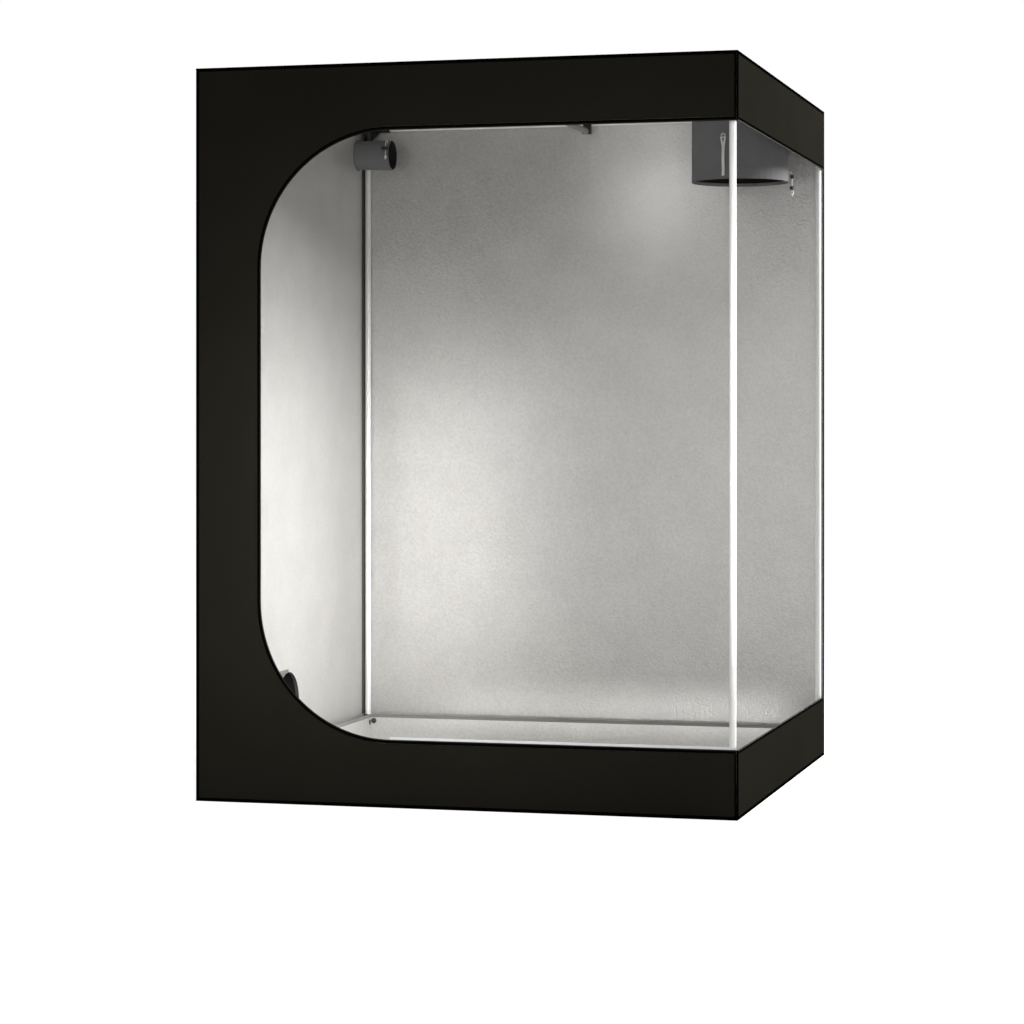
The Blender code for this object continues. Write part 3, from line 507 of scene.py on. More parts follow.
def ruled_net(inner, outer, rows, fade_width=0.06):
    """A net between two edges that have the same number of points."""
    table = []
    for share in (k / rows for k in range(rows + 1)):
        part = min(share, 1 - share) / fade_width
        table.append([(between(a, b, share), eased(part * math.dist(a, b))) for a, b in zip(inner, outer)])
    return Net().patch(table)


def matched(near, far, step):
    """Two paths of the same corners, with as many more points along each side of one as of the other."""
    rows = ([near[0]], [far[0]])
    for k in range(1, len(near)):
        sides = [(path[k - 1], path[k]) for path in (near, far)]
        count = max(round(max(math.dist(*side) for side in sides) / step), 1)
        for row, side in zip(rows, sides):
            row += [between(*side, n / count) for n in range(1, count + 1)]
    return rows


def filled(path, step):
    """A path of corner points with more points along each side."""
    return matched(path, path, step)[0]


def inset(path, width):
    """A path of upright and level sides, moved to its own left. One that ends where it starts is closed."""
    ways = [[(b > a) - (b < a) for a, b in zip(start, end)] for start, end in zip(path, path[1:])]
    ends = (ways[-1], ways[0]) if path[0] == path[-1] else ((0, 0), (0, 0))
    turns = zip([ends[0], *ways], [*ways, ends[1]])
    return [(u - (a[1] + b[1]) * width, v + (a[0] + b[0]) * width) for (u, v), (a, b) in zip(path, turns)]


def arc(centre, radius, start, end, steps):
    turns = [start + (end - start) * k / steps for k in range(steps + 1)]
    return [(centre[0] + radius * math.cos(a), centre[1] + radius * math.sin(a)) for a in turns]


def door_edge(grow, step=0.03):
    """The front opening's edge, from its upper right end round to its lower right end."""
    radius = OPENING_RADIUS + grow
    path = filled([(SHEET, OPENING_HIGH + grow), (ARC_MIDDLE, OPENING_HIGH + grow)], step)
    path += arc((ARC_MIDDLE, ARC_HIGH), radius, math.pi / 2, math.pi, ARC_STEPS)[1:]
    path += filled([(OPENING_LEFT - grow, ARC_HIGH), (OPENING_LEFT - grow, ARC_LOW)], step)[1:]
    path += arc((ARC_MIDDLE, ARC_LOW), radius, math.pi, math.pi * 1.5, ARC_STEPS)[1:]
    return path + filled([(ARC_MIDDLE, OPENING_LOW - grow), (SHEET, OPENING_LOW - grow)], step)[1:]


def front_nets(step):
    """The front sheet in the three strips that it is cut from: top, left and bottom."""
    inner = door_edge(BAND_EDGE, step)
    outer = []
    for u, v in inner:
        end, centre = (SHEET_HIGH, ARC_HIGH) if v >= ARC_HIGH else (SHEET_LOW, ARC_LOW)
        if ARC_LOW < v < ARC_HIGH:
            outer.append((-SHEET, v))
        elif u >= ARC_MIDDLE - GAP:
            outer.append((u, end))
        else:
            turn = math.degrees(math.atan2(abs(v - centre), ARC_MIDDLE - u)) / 45
            if turn >= 1:
                outer.append((ARC_MIDDLE + (-SHEET - ARC_MIDDLE) * (2 - turn), end))
            else:
                outer.append((-SHEET, centre + (end - centre) * turn))
    first, last = (next(k for k, (u, v) in enumerate(inner) if v <= end + GAP) for end in (ARC_HIGH, ARC_LOW))
    spans = {"top": (0, first + 1), "left": (first, last + 1), "bottom": (last, len(inner))}
    return {name: ruled_net(inner[a:b], outer[a:b], 8) for name, (a, b) in spans.items()}


def on_wall(wall, u, v, depth):
    across, up, origin, inwards = (Vector(part) for part in WALLS[wall])
    return origin + across * u + up * v + inwards * depth


def flat_on(wall):
    """The shape of a sheet that lies flat on a wall."""
    return lambda place, fade, depth: on_wall(wall, *place, depth)


def placed(name, data):
    """Puts a mesh, curve, lamp or camera in the scene."""
    thing = bpy.data.objects.new(name, data)
    bpy.context.scene.collection.objects.link(thing)
    return thing


def make(name, points, cells, paint, body="tent", slot=None, stands_for=(), smooth=True):
    """Puts a closed mesh in the scene as one named piece that rides on a body."""
    mesh = bpy.data.meshes.new(name)
    mesh.from_pydata([tuple(point) for point in points], [], [tuple(cell) for cell in cells])
    bm = bmesh.new()
    bm.from_mesh(mesh)
    bmesh.ops.recalc_face_normals(bm, faces=bm.faces)
    bm.to_mesh(mesh)
    bm.free()
    if smooth:
        mesh.shade_smooth()
        mesh.set_sharp_from_angle(angle=math.radians(38))
    mesh.materials.append(paint)
    piece = placed(name, mesh)
    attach(piece, body)
    if stands_for:
        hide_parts(*stands_for)
    return piece


def layered(net, shape, outer, inner):
    """The points and cells of a sheet: shape gives the place of a net point at a depth."""
    spots = list(zip(net.points, net.fades))
    points = [shape(*spot, depth) for depth in (outer, inner) for spot in spots]
    count = len(net.points)
    cells = net.cells + [[k + count for k in reversed(cell)] for cell in net.cells]
    cells += [[b, a, a + count, b + count] for a, b in net.rim()]
    return points, cells


def sheet(name, wall, net, outer, inner, paint, wave=0.0, **more):
    """A sheet of cloth on a wall, whose waves stand outwards between its seams."""

    def shape(place, fade, depth):
        u, v = place
        ends = SHEET - abs(v) if wall in ("roof", "floor") else min(v - SHEET_LOW, SHEET_HIGH - v)
        calm = min(max((min(SHEET - abs(u), ends) - SEAM_TAPE) / CALM_WIDTH, 0), 1)
        lift = noise.noise(Vector((u * 2.6, v * 1.9, len(wall) * 7.3))) * 0.5 + 0.5
        fold = noise.noise(Vector((u * 9.0, v * 6.5, len(wall) * 3.1))) * 0.16
        return on_wall(wall, u, v, depth - wave * fade * calm * max(lift + fold, 0))

    return make(name, *layered(net, shape, outer, inner), paint, **more)


def band(here, after, sides):
    """The cells between two rings of points, each given by the number of its first point."""
    return [[here + (j - 1) % sides, here + j, after + j, after + (j - 1) % sides] for j in range(sides)]


def tube(rings, sides, closed=False):
    """The cells of a row of rings. A row that doesn't close on itself has a lid at each end."""
    cells = []
    for k in range(rings if closed else rings - 1):
        cells += band(k * sides, (k + 1) % rings * sides, sides)
    if not closed:
        cells += [list(range(sides)), list(range((rings - 1) * sides, rings * sides))]
    return cells


def squared(profile, half):
    """The points and cells of a profile of (distance out, height) carried round a square."""
    points = [(a * (half + out), b * (half + out), height) for a, b in CORNERS for out, height in profile]
    return points, tube(len(CORNERS), len(profile), closed=True)


def slab(columns):
    """The points and cells of a thick strip, from the two faces of each of its columns of places."""
    points = [place for front, back in columns for place in front + back[::-1]]
    sides = len(points) // len(columns)
    cells = tube(len(columns), sides)[:-2]  # without its lids
    for end in (0, len(points) - sides):
        back = end + sides - 1
        cells += [[end + k, end + k + 1, back - k - 1, back - k] for k in range(sides // 2 - 1)]
    return points, cells


def sweep(path, radius, sides, closed=False):
    """The points and cells of a round tube along a path."""
    count, points, side = len(path), [], None
    for k, here in enumerate(path):
        before = path[k - 1] if closed or k else here
        after = path[(k + 1) % count] if closed or k + 1 < count else here
        along = (after - before).normalized()
        if side is None:
            side = along.orthogonal().normalized()
        side = (side - along * side.dot(along)).normalized()
        other = along.cross(side)
        points += [here + side * a + other * b for a, b in arc((0, 0), radius, 0, math.tau, sides)[:-1]]
    return points, tube(count, sides, closed)


def turned(stations, place, axis, sides, closed=False):
    """The points and cells of a shape turned about an axis: stations are (radius, distance along it)."""
    turn = Vector((0, 0, 1)).rotation_difference(Vector(axis).normalized())
    points = []
    for r, h in stations:
        ring = arc((0, 0), r, 0, math.tau, sides)[:-1]
        points += [Vector(place) + turn @ Vector((a, b, h)) for a, b in ring]
    return points, tube(len(stations), sides, closed)


def joined(parts):
    """Several (points, cells) as one."""
    points, cells = [], []
    for more_points, more_cells in parts:
        start = len(points)
        points += more_points
        cells += [[k + start for k in cell] for cell in more_cells]
    return points, cells


def spaced(path, pitch):
    """Points at an even pitch along a path, each with the direction there."""
    places, carry = [], pitch / 2
    for start, end in zip(path, path[1:]):
        length = (end - start).length
        if length == 0:
            continue
        along = (end - start) / length
        while carry <= length:
            places.append((start + along * carry, along))
            carry += pitch
        carry -= length
    return places


def lozenges(path, normal, size, pitch):
    """A row of small raised marks along a path on a surface, such as stitches."""
    long, wide, high = size
    parts = []
    for place, along in spaced([Vector(point) for point in path], pitch):
        up = normal(place) if callable(normal) else Vector(normal)
        side = up.cross(along) * wide / 2
        reach = along * long / 2
        moves = (reach, side, -reach, -side, up * high, -up * high / 4)
        cells = [[k, (k + 1) % 4, tip] for tip in (4, 5) for k in range(4)]
        parts.append(([place + move for move in moves], cells))
    return joined(parts)


def blocks(path, normal, size, pitch):
    """A row of small blocks along a path, such as zip teeth."""
    long, wide, high = size
    parts = []
    for place, along in spaced([Vector(point) for point in path], pitch):
        side = Vector(normal).cross(along) * wide / 2
        reach = along * long / 2
        points = []
        for lift, share in ((0, 1), (high, 0.7)):
            points += [place + (reach * a + side * b) * share + Vector(normal) * lift for a, b in CORNERS]
        parts.append((points, tube(2, 4)))
    return joined(parts)


def outward(wall):
    return -Vector(WALLS[wall][3])


def smoothed(points, steps):
    """A smooth curve through route points."""
    route = [Vector(point) for point in points]
    ends = [2 * route[0] - route[1]] + route + [2 * route[-1] - route[-2]]
    curve = []
    for a, b, c, d in zip(ends, ends[1:], ends[2:], ends[3:]):
        for step in range(steps):
            t = step / steps
            bend = (2 * a - 5 * b + 4 * c - d) * t * t + (3 * b - a - 3 * c + d) * t * t * t
            curve.append(b + ((c - a) * t + bend) / 2)
    return curve + [route[-1]]


# Settings


def size_of(name, default, note):
    return FloatProperty(name=name, description=note, default=default, min=0, unit="LENGTH", precision=4)


def number_of(name, default, note, most, least=0):
    return FloatProperty(name=name, description=note, default=default, min=least, max=most)


def colour_of(name, default, note):
    looks = {"default": default, "min": 0, "max": 1, "size": 3, "subtype": "COLOR"}
    return FloatVectorProperty(name=name, description=note, **looks)


class TentClothSettings(bpy.types.PropertyGroup):
    """The cover, its lining and what is sewn to them."""

    cover: colour_of("Cover", (0.0173, 0.0161, 0.0124), "Colour of the outer canvas")
    lining: colour_of("Lining", (0.55, 0.542, 0.525), "Colour of the foil on the lining")
    trim: colour_of("Trim", (0.0016, 0.0016, 0.0010), "Colour of the piping, zips and straps")
    flap: colour_of("Sill flap", (0.95, 0.95, 0.94), "Colour of the flap behind the sill")
    cover_wave: size_of("Cover waves", 0.0015, "How far the cover stands out between its seams")
    lining_wave: size_of("Lining waves", 0.0022, "How far the lining stands out between its seams")
    step: size_of("Cell", 0.03, "Size of a sheet's mesh cells")


class TentFrameSettings(bpy.types.PropertyGroup):
    """The poles and their fittings."""

    tube: colour_of("Tube", (0.95, 0.95, 0.93), "Colour of the powder coat on the poles")
    bar: colour_of("Roof bar", (0.17, 0.17, 0.165), "Colour of the bar under the roof")
    plastic: colour_of("Plastic", (0.021, 0.022, 0.021), "Colour of connectors, hooks and locks")


class TentSleeveSettings(bpy.types.PropertyGroup):
    """The duct sleeves and their cords."""

    cloth: colour_of("Sleeve", (0.19, 0.19, 0.195), "Colour of the two sleeves inside")
    cord: colour_of("Cord", (0.92, 0.92, 0.90), "Colour of the drawcords and the tie")
    fold: size_of("Folds", 0.0014, "Height of the sleeves' long folds")
    pucker: size_of("Puckers", 0.0003, "Height of the gathers in a hem")
    cord_width: size_of("Cord diameter", 0.003, "Diameter of a drawcord")


class TentTraySettings(bpy.types.PropertyGroup):
    """The floor tray."""

    binding: colour_of("Binding", (0.27, 0.27, 0.26), "Colour of the binding on the tray's rim")
    wave: size_of("Waves", 0.0022, "How far the tray's sheet lifts")
    stud: size_of("Stud", 0.009, "Radius of a corner stud")
    studs_in: size_of("Stud place", 0.0105, "Distance of a stud from its corner")


class TentDoorSettings(bpy.types.PropertyGroup):
    """The rolled doors."""

    slack: number_of("Slack", 0.035, "Unevenness of a roll along its length", 0.1)
    stagger: size_of("Stagger", 0.004, "How unevenly a roll's turns end")
    pieces: IntProperty(name="Cells", description="Mesh cells along a roll", default=44, min=4, max=200)


class TentStageSettings(bpy.types.PropertyGroup):
    """The floor, the light and the camera."""

    floor: colour_of("Floor", (0.60, 0.60, 0.60), "Colour of the floor in the light that it gives")
    sky: number_of("Sky", 0.25, "Light from the white surroundings", 2)
    lamps: number_of("Lamps", 1.0, "Share of the lamps' power", 10)
    lens: number_of("Lens", 98.67, "Focal length in millimetres", 300, 10)
    shift: number_of("Shift", -0.0861, "The camera's upright shift", 1, -1)


# Pieces


def stitch_paint():
    name = "black_thread"
    return bpy.data.materials.get(name) or webbing_paint(name, (0.0022, 0.0022, 0.0016), 0.0009)


class TENT_OT_cords(bpy.types.Operator):
    """The two drawcords that show, with their knots, bead and eyelets"""

    bl_idname = "tent.cords"
    bl_label = "Cords"

    def cord(self, name, foot, out, start, route, width, paint):
        points = smoothed([(start[0] + a, start[1] + b) for a, b in route], CORD_STEPS)
        data = bpy.data.curves.new(name, "CURVE")
        data.dimensions = "3D"
        data.bevel_depth = width / 2
        data.bevel_resolution = 4
        data.use_fill_caps = True
        spline = data.splines.new("POLY")
        spline.points.add(len(points) - 1)
        line = [Vector((foot[0] + out[0] * a, foot[1] + out[1] * a, b)) for a, b in points]
        for mark, place in zip(spline.points, line):
            mark.co = (*place, 1)
        data.materials.append(paint)
        piece = placed(name, data)
        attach(piece, "tent")
        return piece, line

    def declare(self, piece, line, width, pieces):
        sum(math.dist(a, b) for a, b in zip(line, line[1:]))

    def knot(self, name, end, rise, wide, high, strand, paint):
        """An overhand knot: a trefoil of cord with a short tail, which starts a rise above the line's end."""
        top = end + Vector((0, 0, rise))
        loops = []
        for turn in (math.tau * k / 48 for k in range(48)):
            a = (math.sin(turn) + 2 * math.sin(2 * turn)) / 3
            b = (math.cos(turn) - 2 * math.cos(2 * turn)) / 3
            c = -math.sin(3 * turn)
            loops.append(top + Vector((a * wide, c * wide * 0.5, b * high / 2 - high * 0.55)))
        loop = sweep(loops, strand, 8, closed=True)
        tail = [top + Vector((0, 0, -high * share)) for share in (0.0, 0.5, 1.0, 1.35)]
        return make(name, *joined([loop, sweep(tail, strand, 8)]), paint, slot="white_cord")

    def execute(self, context):
        settings = context.scene.tent_sleeves
        width = settings.cord_width
        paint = braid_paint("braided_cord", settings.cord)
        dark = plastic_paint("bead_plastic", context.scene.tent_frame.plastic)
        metal = metal_paint("eyelet_metal", (0.36, 0.36, 0.35))
        foot = Vector(ROOF_SLEEVE[3][:2])
        out = Vector((math.cos(ROOF_CORD_ANGLE), math.sin(ROOF_CORD_ANGLE)))
        roof, line = self.cord("roof_cord_line", foot, out, ROOF_CORD_START, ROOF_CORD_ROUTE, width, paint)
        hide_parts("roof_cord")
        shape = list(BEAD_HALF) + [(r, BEAD_LENGTH - h) for r, h in BEAD_HALF[::-1]]
        bead = make("roof_cord_bead", *turned(shape, line[-1], (0, 0, -1), 20), dark, slot="dark_plastic")
        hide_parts("roof_cord_end")
        knot = self.knot("roof_cord_knot", line[-1], *ROOF_KNOT, paint)
        self.declare(roof, line, width, [bead, knot])
        place = (*(foot + out * ROOF_EYELET_OUT), ROOF_CORD_START[1] + ROOF_CORD_ROUTE[0][1])
        make("roof_cord_eyelet", *turned(EYELET, place, (*out, 0), 20, closed=True), metal)

        foot, start, route = CORNER_CORD_FOOT, CORNER_CORD_START, CORNER_CORD_ROUTE
        corner, line = self.cord("corner_cord_line", foot, (0, -1), start, route, width, paint)
        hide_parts("corner_cord")
        knot = self.knot("corner_cord_knot", line[-1], *CORNER_KNOT, paint)
        self.declare(corner, line, width, [knot])
        lean = Vector((0, -route[0][0], route[0][1])).normalized()
        place = Vector((*foot, start[1])) + lean * CORNER_EYELET_OUT
        make("corner_cord_eyelet", *turned(EYELET, place, lean, 20, closed=True), metal)
        return {"FINISHED"}


class TENT_OT_covers(bpy.types.Operator):
    """The black outer sheets and the floor sheet"""

    bl_idname = "tent.covers"
    bl_label = "Covers"

    def execute(self, context):
        settings = context.scene.tent_cloth
        paint = canvas_paint("black_canvas_cloth", settings.cover)
        make_sheets("cover", COVER_OUT, COVER_IN, settings.cover_wave, paint, "black_canvas", settings.step)
        net = rectangle_net(-SHEET, SHEET, -SHEET, SHEET, settings.step)
        looks = {"slot": "black_canvas", "stands_for": ["floor_cover"]}
        floor = sheet("floor_sheet", "floor", net, 0.0, FLOOR_THICKNESS, paint, **looks)
        declare(net)
        return {"FINISHED"}


class TENT_OT_linings(bpy.types.Operator):
    """The foil lining inside each sheet, and a dark strip down the rear left corner as the pole's painted
    reflection
    """

    bl_idname = "tent.linings"
    bl_label = "Linings"

    def execute(self, context):
        settings = context.scene.tent_cloth
        paint = foil_paint("silver_foil_cloth", settings.lining)
        wave = settings.lining_wave
        make_sheets("lining", LINING_OUT, LINING_IN, wave, paint, "silver_lining", settings.step)
        # A dark webbing strip beside the rear left pole, painted in as the pole's reflection in the foil
        tape = webbing_paint("painted_pole_reflection_tape", (0.115, 0.112, 0.100), 0.0016)
        net, depths = rectangle_net(*POLE_REFLECTION_STRIP, 0.03), (LINING_IN + GAP, LINING_IN + 3 * GAP)
        sheet("left_corner_tape", "left", net, *depths, tape, slot="grey_binding")
        return {"FINISHED"}


def declare(net):
    """Works out a sheet's flat sizes and area from its net; nothing is done with them."""
    sizes = [max(place[k] for place in net.points) - min(place[k] for place in net.points) for k in (0, 1)]
    area = min(net.area(), sizes[0] * sizes[1])


def make_sheets(layer, outer, inner, wave, paint, slot, step):
    """One layer of the walls and the roof."""
    holes = []
    for (radius, *_, foot, axis), reach in zip((CORNER_SLEEVE, SIDE_SLEEVE, ROOF_SLEEVE), HOLE_REACHES):
        holes.append((*(foot[1:] if axis[0] else foot[:2]), radius - SLEEVE_THICKNESS, reach))
    wide, tall = (-SHEET, SHEET), (SHEET_LOW, SHEET_HIGH)
    nets = {f"front_{part}": net for part, net in front_nets(step).items()}
    nets["left"] = rectangle_net(*wide, *tall, step, holes=holes[:2])
    nets["back"] = rectangle_net(*wide, *tall, step)
    nets["right_top"] = rectangle_net(*wide, BAND_TOP, SHEET_HIGH, step)
    nets["right_bottom"] = rectangle_net(*wide, SHEET_LOW, BAND_BOTTOM, step)
    nets["roof"] = rectangle_net(*wide, *wide, step, holes=holes[2:])
    for name, net in nets.items():
        wall = name.split("_")[0]
        looks = {"slot": slot, "stands_for": [f"{wall if wall == 'front' else name}_{layer}"]}
        made = sheet(f"{name}_{layer}_sheet", wall, net, outer, inner, paint, wave, **looks)
        declare(net)


class TENT_OT_seams(bpy.types.Operator):
    """The piping along the seams, and the tapes and stitching beside it"""

    bl_idname = "tent.seams"
    bl_label = "Seams"

    def piping(self):
        middle, ends = SEAM - PIPING_RADIUS, (PIPING_RADIUS, TOP - PIPING_RADIUS)
        parts = [squared(arc((0, end), PIPING_RADIUS, 0, math.tau, 12)[:-1], middle) for end in ends]
        runs = [(a, b, *ends) for a, b in CORNERS[:3]]
        runs += [(1, -1, ends[0], OPENING_LOW), (1, -1, OPENING_HIGH, ends[1])]
        for a, b, start, end in runs:
            rounded = [(0.0012, 0), (0.0024, 0.0008), (0.0024, end - start - 0.0008), (0.0012, end - start)]
            parts.append(turned(rounded, (a * middle, b * middle, start), (0, 0, 1), 12))
        return joined(parts)

    def tapes(self):
        """Narrow tapes on both sides of each seam, as (wall, inner path, outer path)."""
        s, t, low, high = SHEET, SEAM_TAPE, SHEET_LOW, SHEET_HIGH
        runs = []
        for wall, bottom, top in (("left", low, high), ("back", low, high), ("roof", -s, s)):
            runs.append((wall, t, [(-s, bottom), (s, bottom), (s, top), (-s, top), (-s, bottom)]))
        edge = [(s, BAND_TOP), (s, high), (-s, high), (-s, low), (s, low), (s, BAND_BOTTOM)]
        runs.append(("front", t, edge))
        for width, start, end in ((-t, BAND_TOP, high), (t, BAND_BOTTOM, low)):
            runs.append(("right", width, [(-s, start), (-s, end), (s, end), (s, start)]))
        return [(wall, inset(outer, width), outer) for wall, width, outer in runs]

    def execute(self, context):
        paint = webbing_paint("black_trim_tape", context.scene.tent_cloth.trim, 0.0014)
        make("seam_piping_run", *self.piping(), paint, slot="black_trim", stands_for=["seam_piping"])
        parts, rows = [], []
        for wall, inner, outer in self.tapes():
            net = ruled_net(*matched(inner, outer, 0.05), 2)
            parts.append(layered(net, flat_on(wall), TAPE_OUT, COVER_OUT - TAPE_OUT / 2))
            middle = [on_wall(wall, *place, TAPE_OUT) for place in path_between(inner, outer, 0.5)]
            rows.append(lozenges(middle, outward(wall), *SEAM_STITCH))
        make("seam_tapes", *joined(parts), paint, slot="black_trim")
        make("seam_stitches", *joined(rows), stitch_paint(), slot="black_trim", smooth=False)
        return {"FINISHED"}


class TENT_OT_zips(bpy.types.Operator):
    """The two halves of the door zips that stay on the tent, and the flap behind the sill"""

    bl_idname = "tent.zips"
    bl_label = "Zips"

    def zip(self, name, wall, inner, outer, paint, teeth, node):
        def row(share):
            return [on_wall(wall, *place, COVER_OUT) for place in path_between(inner, outer, share)]

        looks = {"slot": "black_trim", "stands_for": [node]}
        sheet(name, wall, ruled_net(inner, outer, 4), COVER_OUT, COVER_OUT + ZIP_THICKNESS, paint, **looks)
        line = blocks(row(TEETH_SHARE), outward(wall), *ZIP_TOOTH)
        make(f"{name}_teeth", *line, teeth, slot="black_trim", smooth=False)
        rows = [lozenges(row(share), outward(wall), *ZIP_STITCH) for share in ZIP_STITCH_SHARES]
        make(f"{name}_stitches", *joined(rows), stitch_paint(), slot="black_trim", smooth=False)

    def execute(self, context):
        settings = context.scene.tent_cloth
        paint = webbing_paint("black_zip_tape", shaded(settings.trim, 1.3), 0.0010)
        teeth = plastic_paint("black_zip_teeth", (0.004, 0.004, 0.004), 0.35)
        self.zip("front_zip", "front", door_edge(0), door_edge(ZIP_WIDTH), paint, teeth, "front_zip_tape")
        right = SHEET - ZIP_WIDTH
        inner = [(-SHEET, OPENING_LOW), (right, OPENING_LOW), (right, OPENING_HIGH), (-SHEET, OPENING_HIGH)]
        edges = matched(inner, inset(inner, -ZIP_WIDTH), 0.05)
        self.zip("side_zip", "right", *edges, paint, teeth, "side_zip_tape")

        white = canvas_paint("white_flap_cloth", settings.flap)
        low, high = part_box("sill_flap")
        net = rectangle_net(low.x, high.x, low.z, high.z, 0.014)

        def shape(place, fade, depth):
            u, v = place
            lean = max(v - OPENING_LOW, 0) / (high.z - OPENING_LOW)
            curl = noise.noise(Vector((u * 7.0, 0, 2.0))) * 0.0012 * lean
            return on_wall("front", u, v + curl * 0.5, depth + max(curl, 0))

        strip = layered(net, shape, SEAM + low.y, SEAM + high.y)
        flap = make("sill_flap_strip", *strip, white, slot="white_flap", stands_for=["sill_flap"])
        declare(net)
        return {"FINISHED"}


class TENT_OT_frame(bpy.types.Operator):
    """Finishes for the poles and fittings"""

    bl_idname = "tent.frame"
    bl_label = "Frame"

    def execute(self, context):
        settings = context.scene.tent_frame
        tube = enamel_paint("white_enamel_tube", settings.tube)
        bar = enamel_paint("grey_enamel_tube", settings.bar)
        plastic = plastic_paint("dark_moulding", settings.plastic)
        button = plastic_paint("black_button", (0.008, 0.008, 0.008), 0.4)
        for name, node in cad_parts.items():
            if name.startswith(("pole_", "base_bar_", "top_bar_")):
                paint = tube
            elif name == "roof_bar":
                paint = bar
            elif "_corner_" in name or "hook" in name or name.endswith("_cord_lock"):
                paint = plastic
            elif name.endswith("_lock_button"):
                paint = button
            else:
                continue
            node.data.materials.clear()
            node.data.materials.append(paint)
        return {"FINISHED"}


class TENT_OT_sleeves(bpy.types.Operator):
    """The three duct sleeves, gathered at their hems, and the tie and its eyelet"""

    bl_idname = "tent.sleeves"
    bl_label = "Sleeves"

    def sleeve(self, name, shape, sides, folds, sag, paints, slot, node, thread, flange_width, turned_in):
        """One sleeve: cloth outside and on the hem's turned rows, darker cloth inside, which is painted shade
        in the roof and corner sleeves, and a flange.
        """
        radius, length, hem, *ends = shape
        foot, axis = (Vector(end) for end in ends)
        paint, inside = paints
        settings = bpy.context.scene.tent_sleeves
        turn = Vector((0, 0, 1)).rotation_difference(axis)
        down = Vector((0, 0, -1 if axis.z == 0 else 0))

        def place(angle, along, out):
            share = along / length
            ripple = math.sin(angle * folds + 3 * math.sin(angle * 2)) * 0.6
            ripple += math.sin(angle * (folds * 2 + 3)) * 0.4
            in_hem = eased((along - (length - hem)) / 0.003)
            gather = math.sin(angle * sides / 4 + math.sin(angle * 5)) * settings.pucker * in_hem
            swell = ripple * settings.fold * (0.25 + 0.75 * share) * (1 - 0.5 * in_hem)
            r = radius + out + swell + gather + HEM_PROUD * 0.6 * in_hem
            local = Vector((r * math.cos(angle), r * math.sin(angle), along))
            return foot + turn @ local + down * sag * share * share

        rows = spread(0, length - hem - 0.002, 0.010) + spread(length - hem, length, 0.005)
        turns = [math.tau * k / sides for k in range(sides)]
        count = len(rows)
        rings = [(along, 0.0) for along in rows] + [(along, -SLEEVE_THICKNESS) for along in rows[::-1]]
        points = [place(angle, *ring) for ring in rings for angle in turns]
        cells = tube(len(rings), sides, closed=True)
        made = make(name, points, cells, paint, slot=slot, stands_for=[node])
        # The inner faces take the second paint: painted shade in the roof and corner sleeves
        made.data.materials.append(inside)
        for face in made.data.polygons[(count + turned_in) * sides : (2 * count - 1) * sides]:
            face.material_index = 1
        mouth, edge = radius - SLEEVE_THICKNESS, radius + flange_width
        ring = [(mouth, 0), (edge, 0), (edge, 0.0005)]
        ring += [(edge - 0.001, FLANGE_THICKNESS), (mouth, FLANGE_THICKNESS)]
        flange = make(f"{name}_flange", *turned(ring, foot, axis, sides, closed=True), paint, slot=slot)

        def away(point):
            """The way out from the sleeve's axis."""
            local = turn.inverted() @ (point - foot)
            return turn @ Vector((local.x, local.y, 0)).normalized()

        rows = []
        for extra in (flange_width * 0.27, flange_width * 0.73):
            circle = arc((0, 0), radius + extra, 0, math.tau, 90)
            circle = [foot + turn @ Vector((a, b, FLANGE_THICKNESS)) for a, b in circle]
            rows.append(lozenges(circle, axis, *SLEEVE_STITCH))
        for along in (length - hem + 0.002, length - 0.0025):
            circle = [place(angle, along, STITCH_LIFT) for angle in (math.tau * k / 120 for k in range(121))]
            centre = foot + axis * along
            rows.append(lozenges(circle, lambda point: (point - centre).normalized(), *SLEEVE_STITCH))
        for angle in (SLEEVE_SEAM, SLEEVE_SEAM + SLEEVE_SEAM_WIDTH / radius):
            line = [place(angle, along, STITCH_LIFT) for along in spread(0.004, length - hem, 0.01)]
            rows.append(lozenges(line, away, *SLEEVE_STITCH))
        stitched = make(f"{name}_stitches", *joined(rows), thread, slot=slot, smooth=False)
        flat = (math.tau * radius, length)

    def execute(self, context):
        settings = context.scene.tent_sleeves
        grey = canvas_paint("grey_sleeve_cloth", settings.cloth, 0.1)
        # Black cloth: the side sleeve's own colour, and painted shade inside the roof sleeve
        black = canvas_paint("black_sleeve_cloth_and_inner_shade", context.scene.tent_cloth.cover)
        thread = webbing_paint("grey_thread", shaded(settings.cloth, 0.8), 0.0009)
        # Near-black cloth for the corner sleeve's inside: painted shade in its mouth
        dark = canvas_paint("sleeve_inside_painted_shade", shaded(settings.cloth, 0.12), 0.1)
        # The roof sleeve's black inside is painted shade; its two turned hem rows stay grey, a real turned
        # hem that also stands for the lit lower rim
        looks = ((grey, black), "grey_sleeve", "roof_duct_sleeve", thread, FLANGE_WIDTH, 2)
        self.sleeve("roof_sleeve", ROOF_SLEEVE, 160, 7, 0.0, *looks)
        looks = ((grey, dark), "grey_sleeve", "corner_duct_sleeve", thread, 0.0035, 0)
        self.sleeve("corner_sleeve", CORNER_SLEEVE, 96, 4, 0.002, *looks)
        looks = ((black, black), "black_canvas", "side_duct_sleeve", stitch_paint(), FLANGE_WIDTH, 0)
        self.sleeve("side_sleeve", SIDE_SLEEVE, 128, 6, 0.004, *looks)

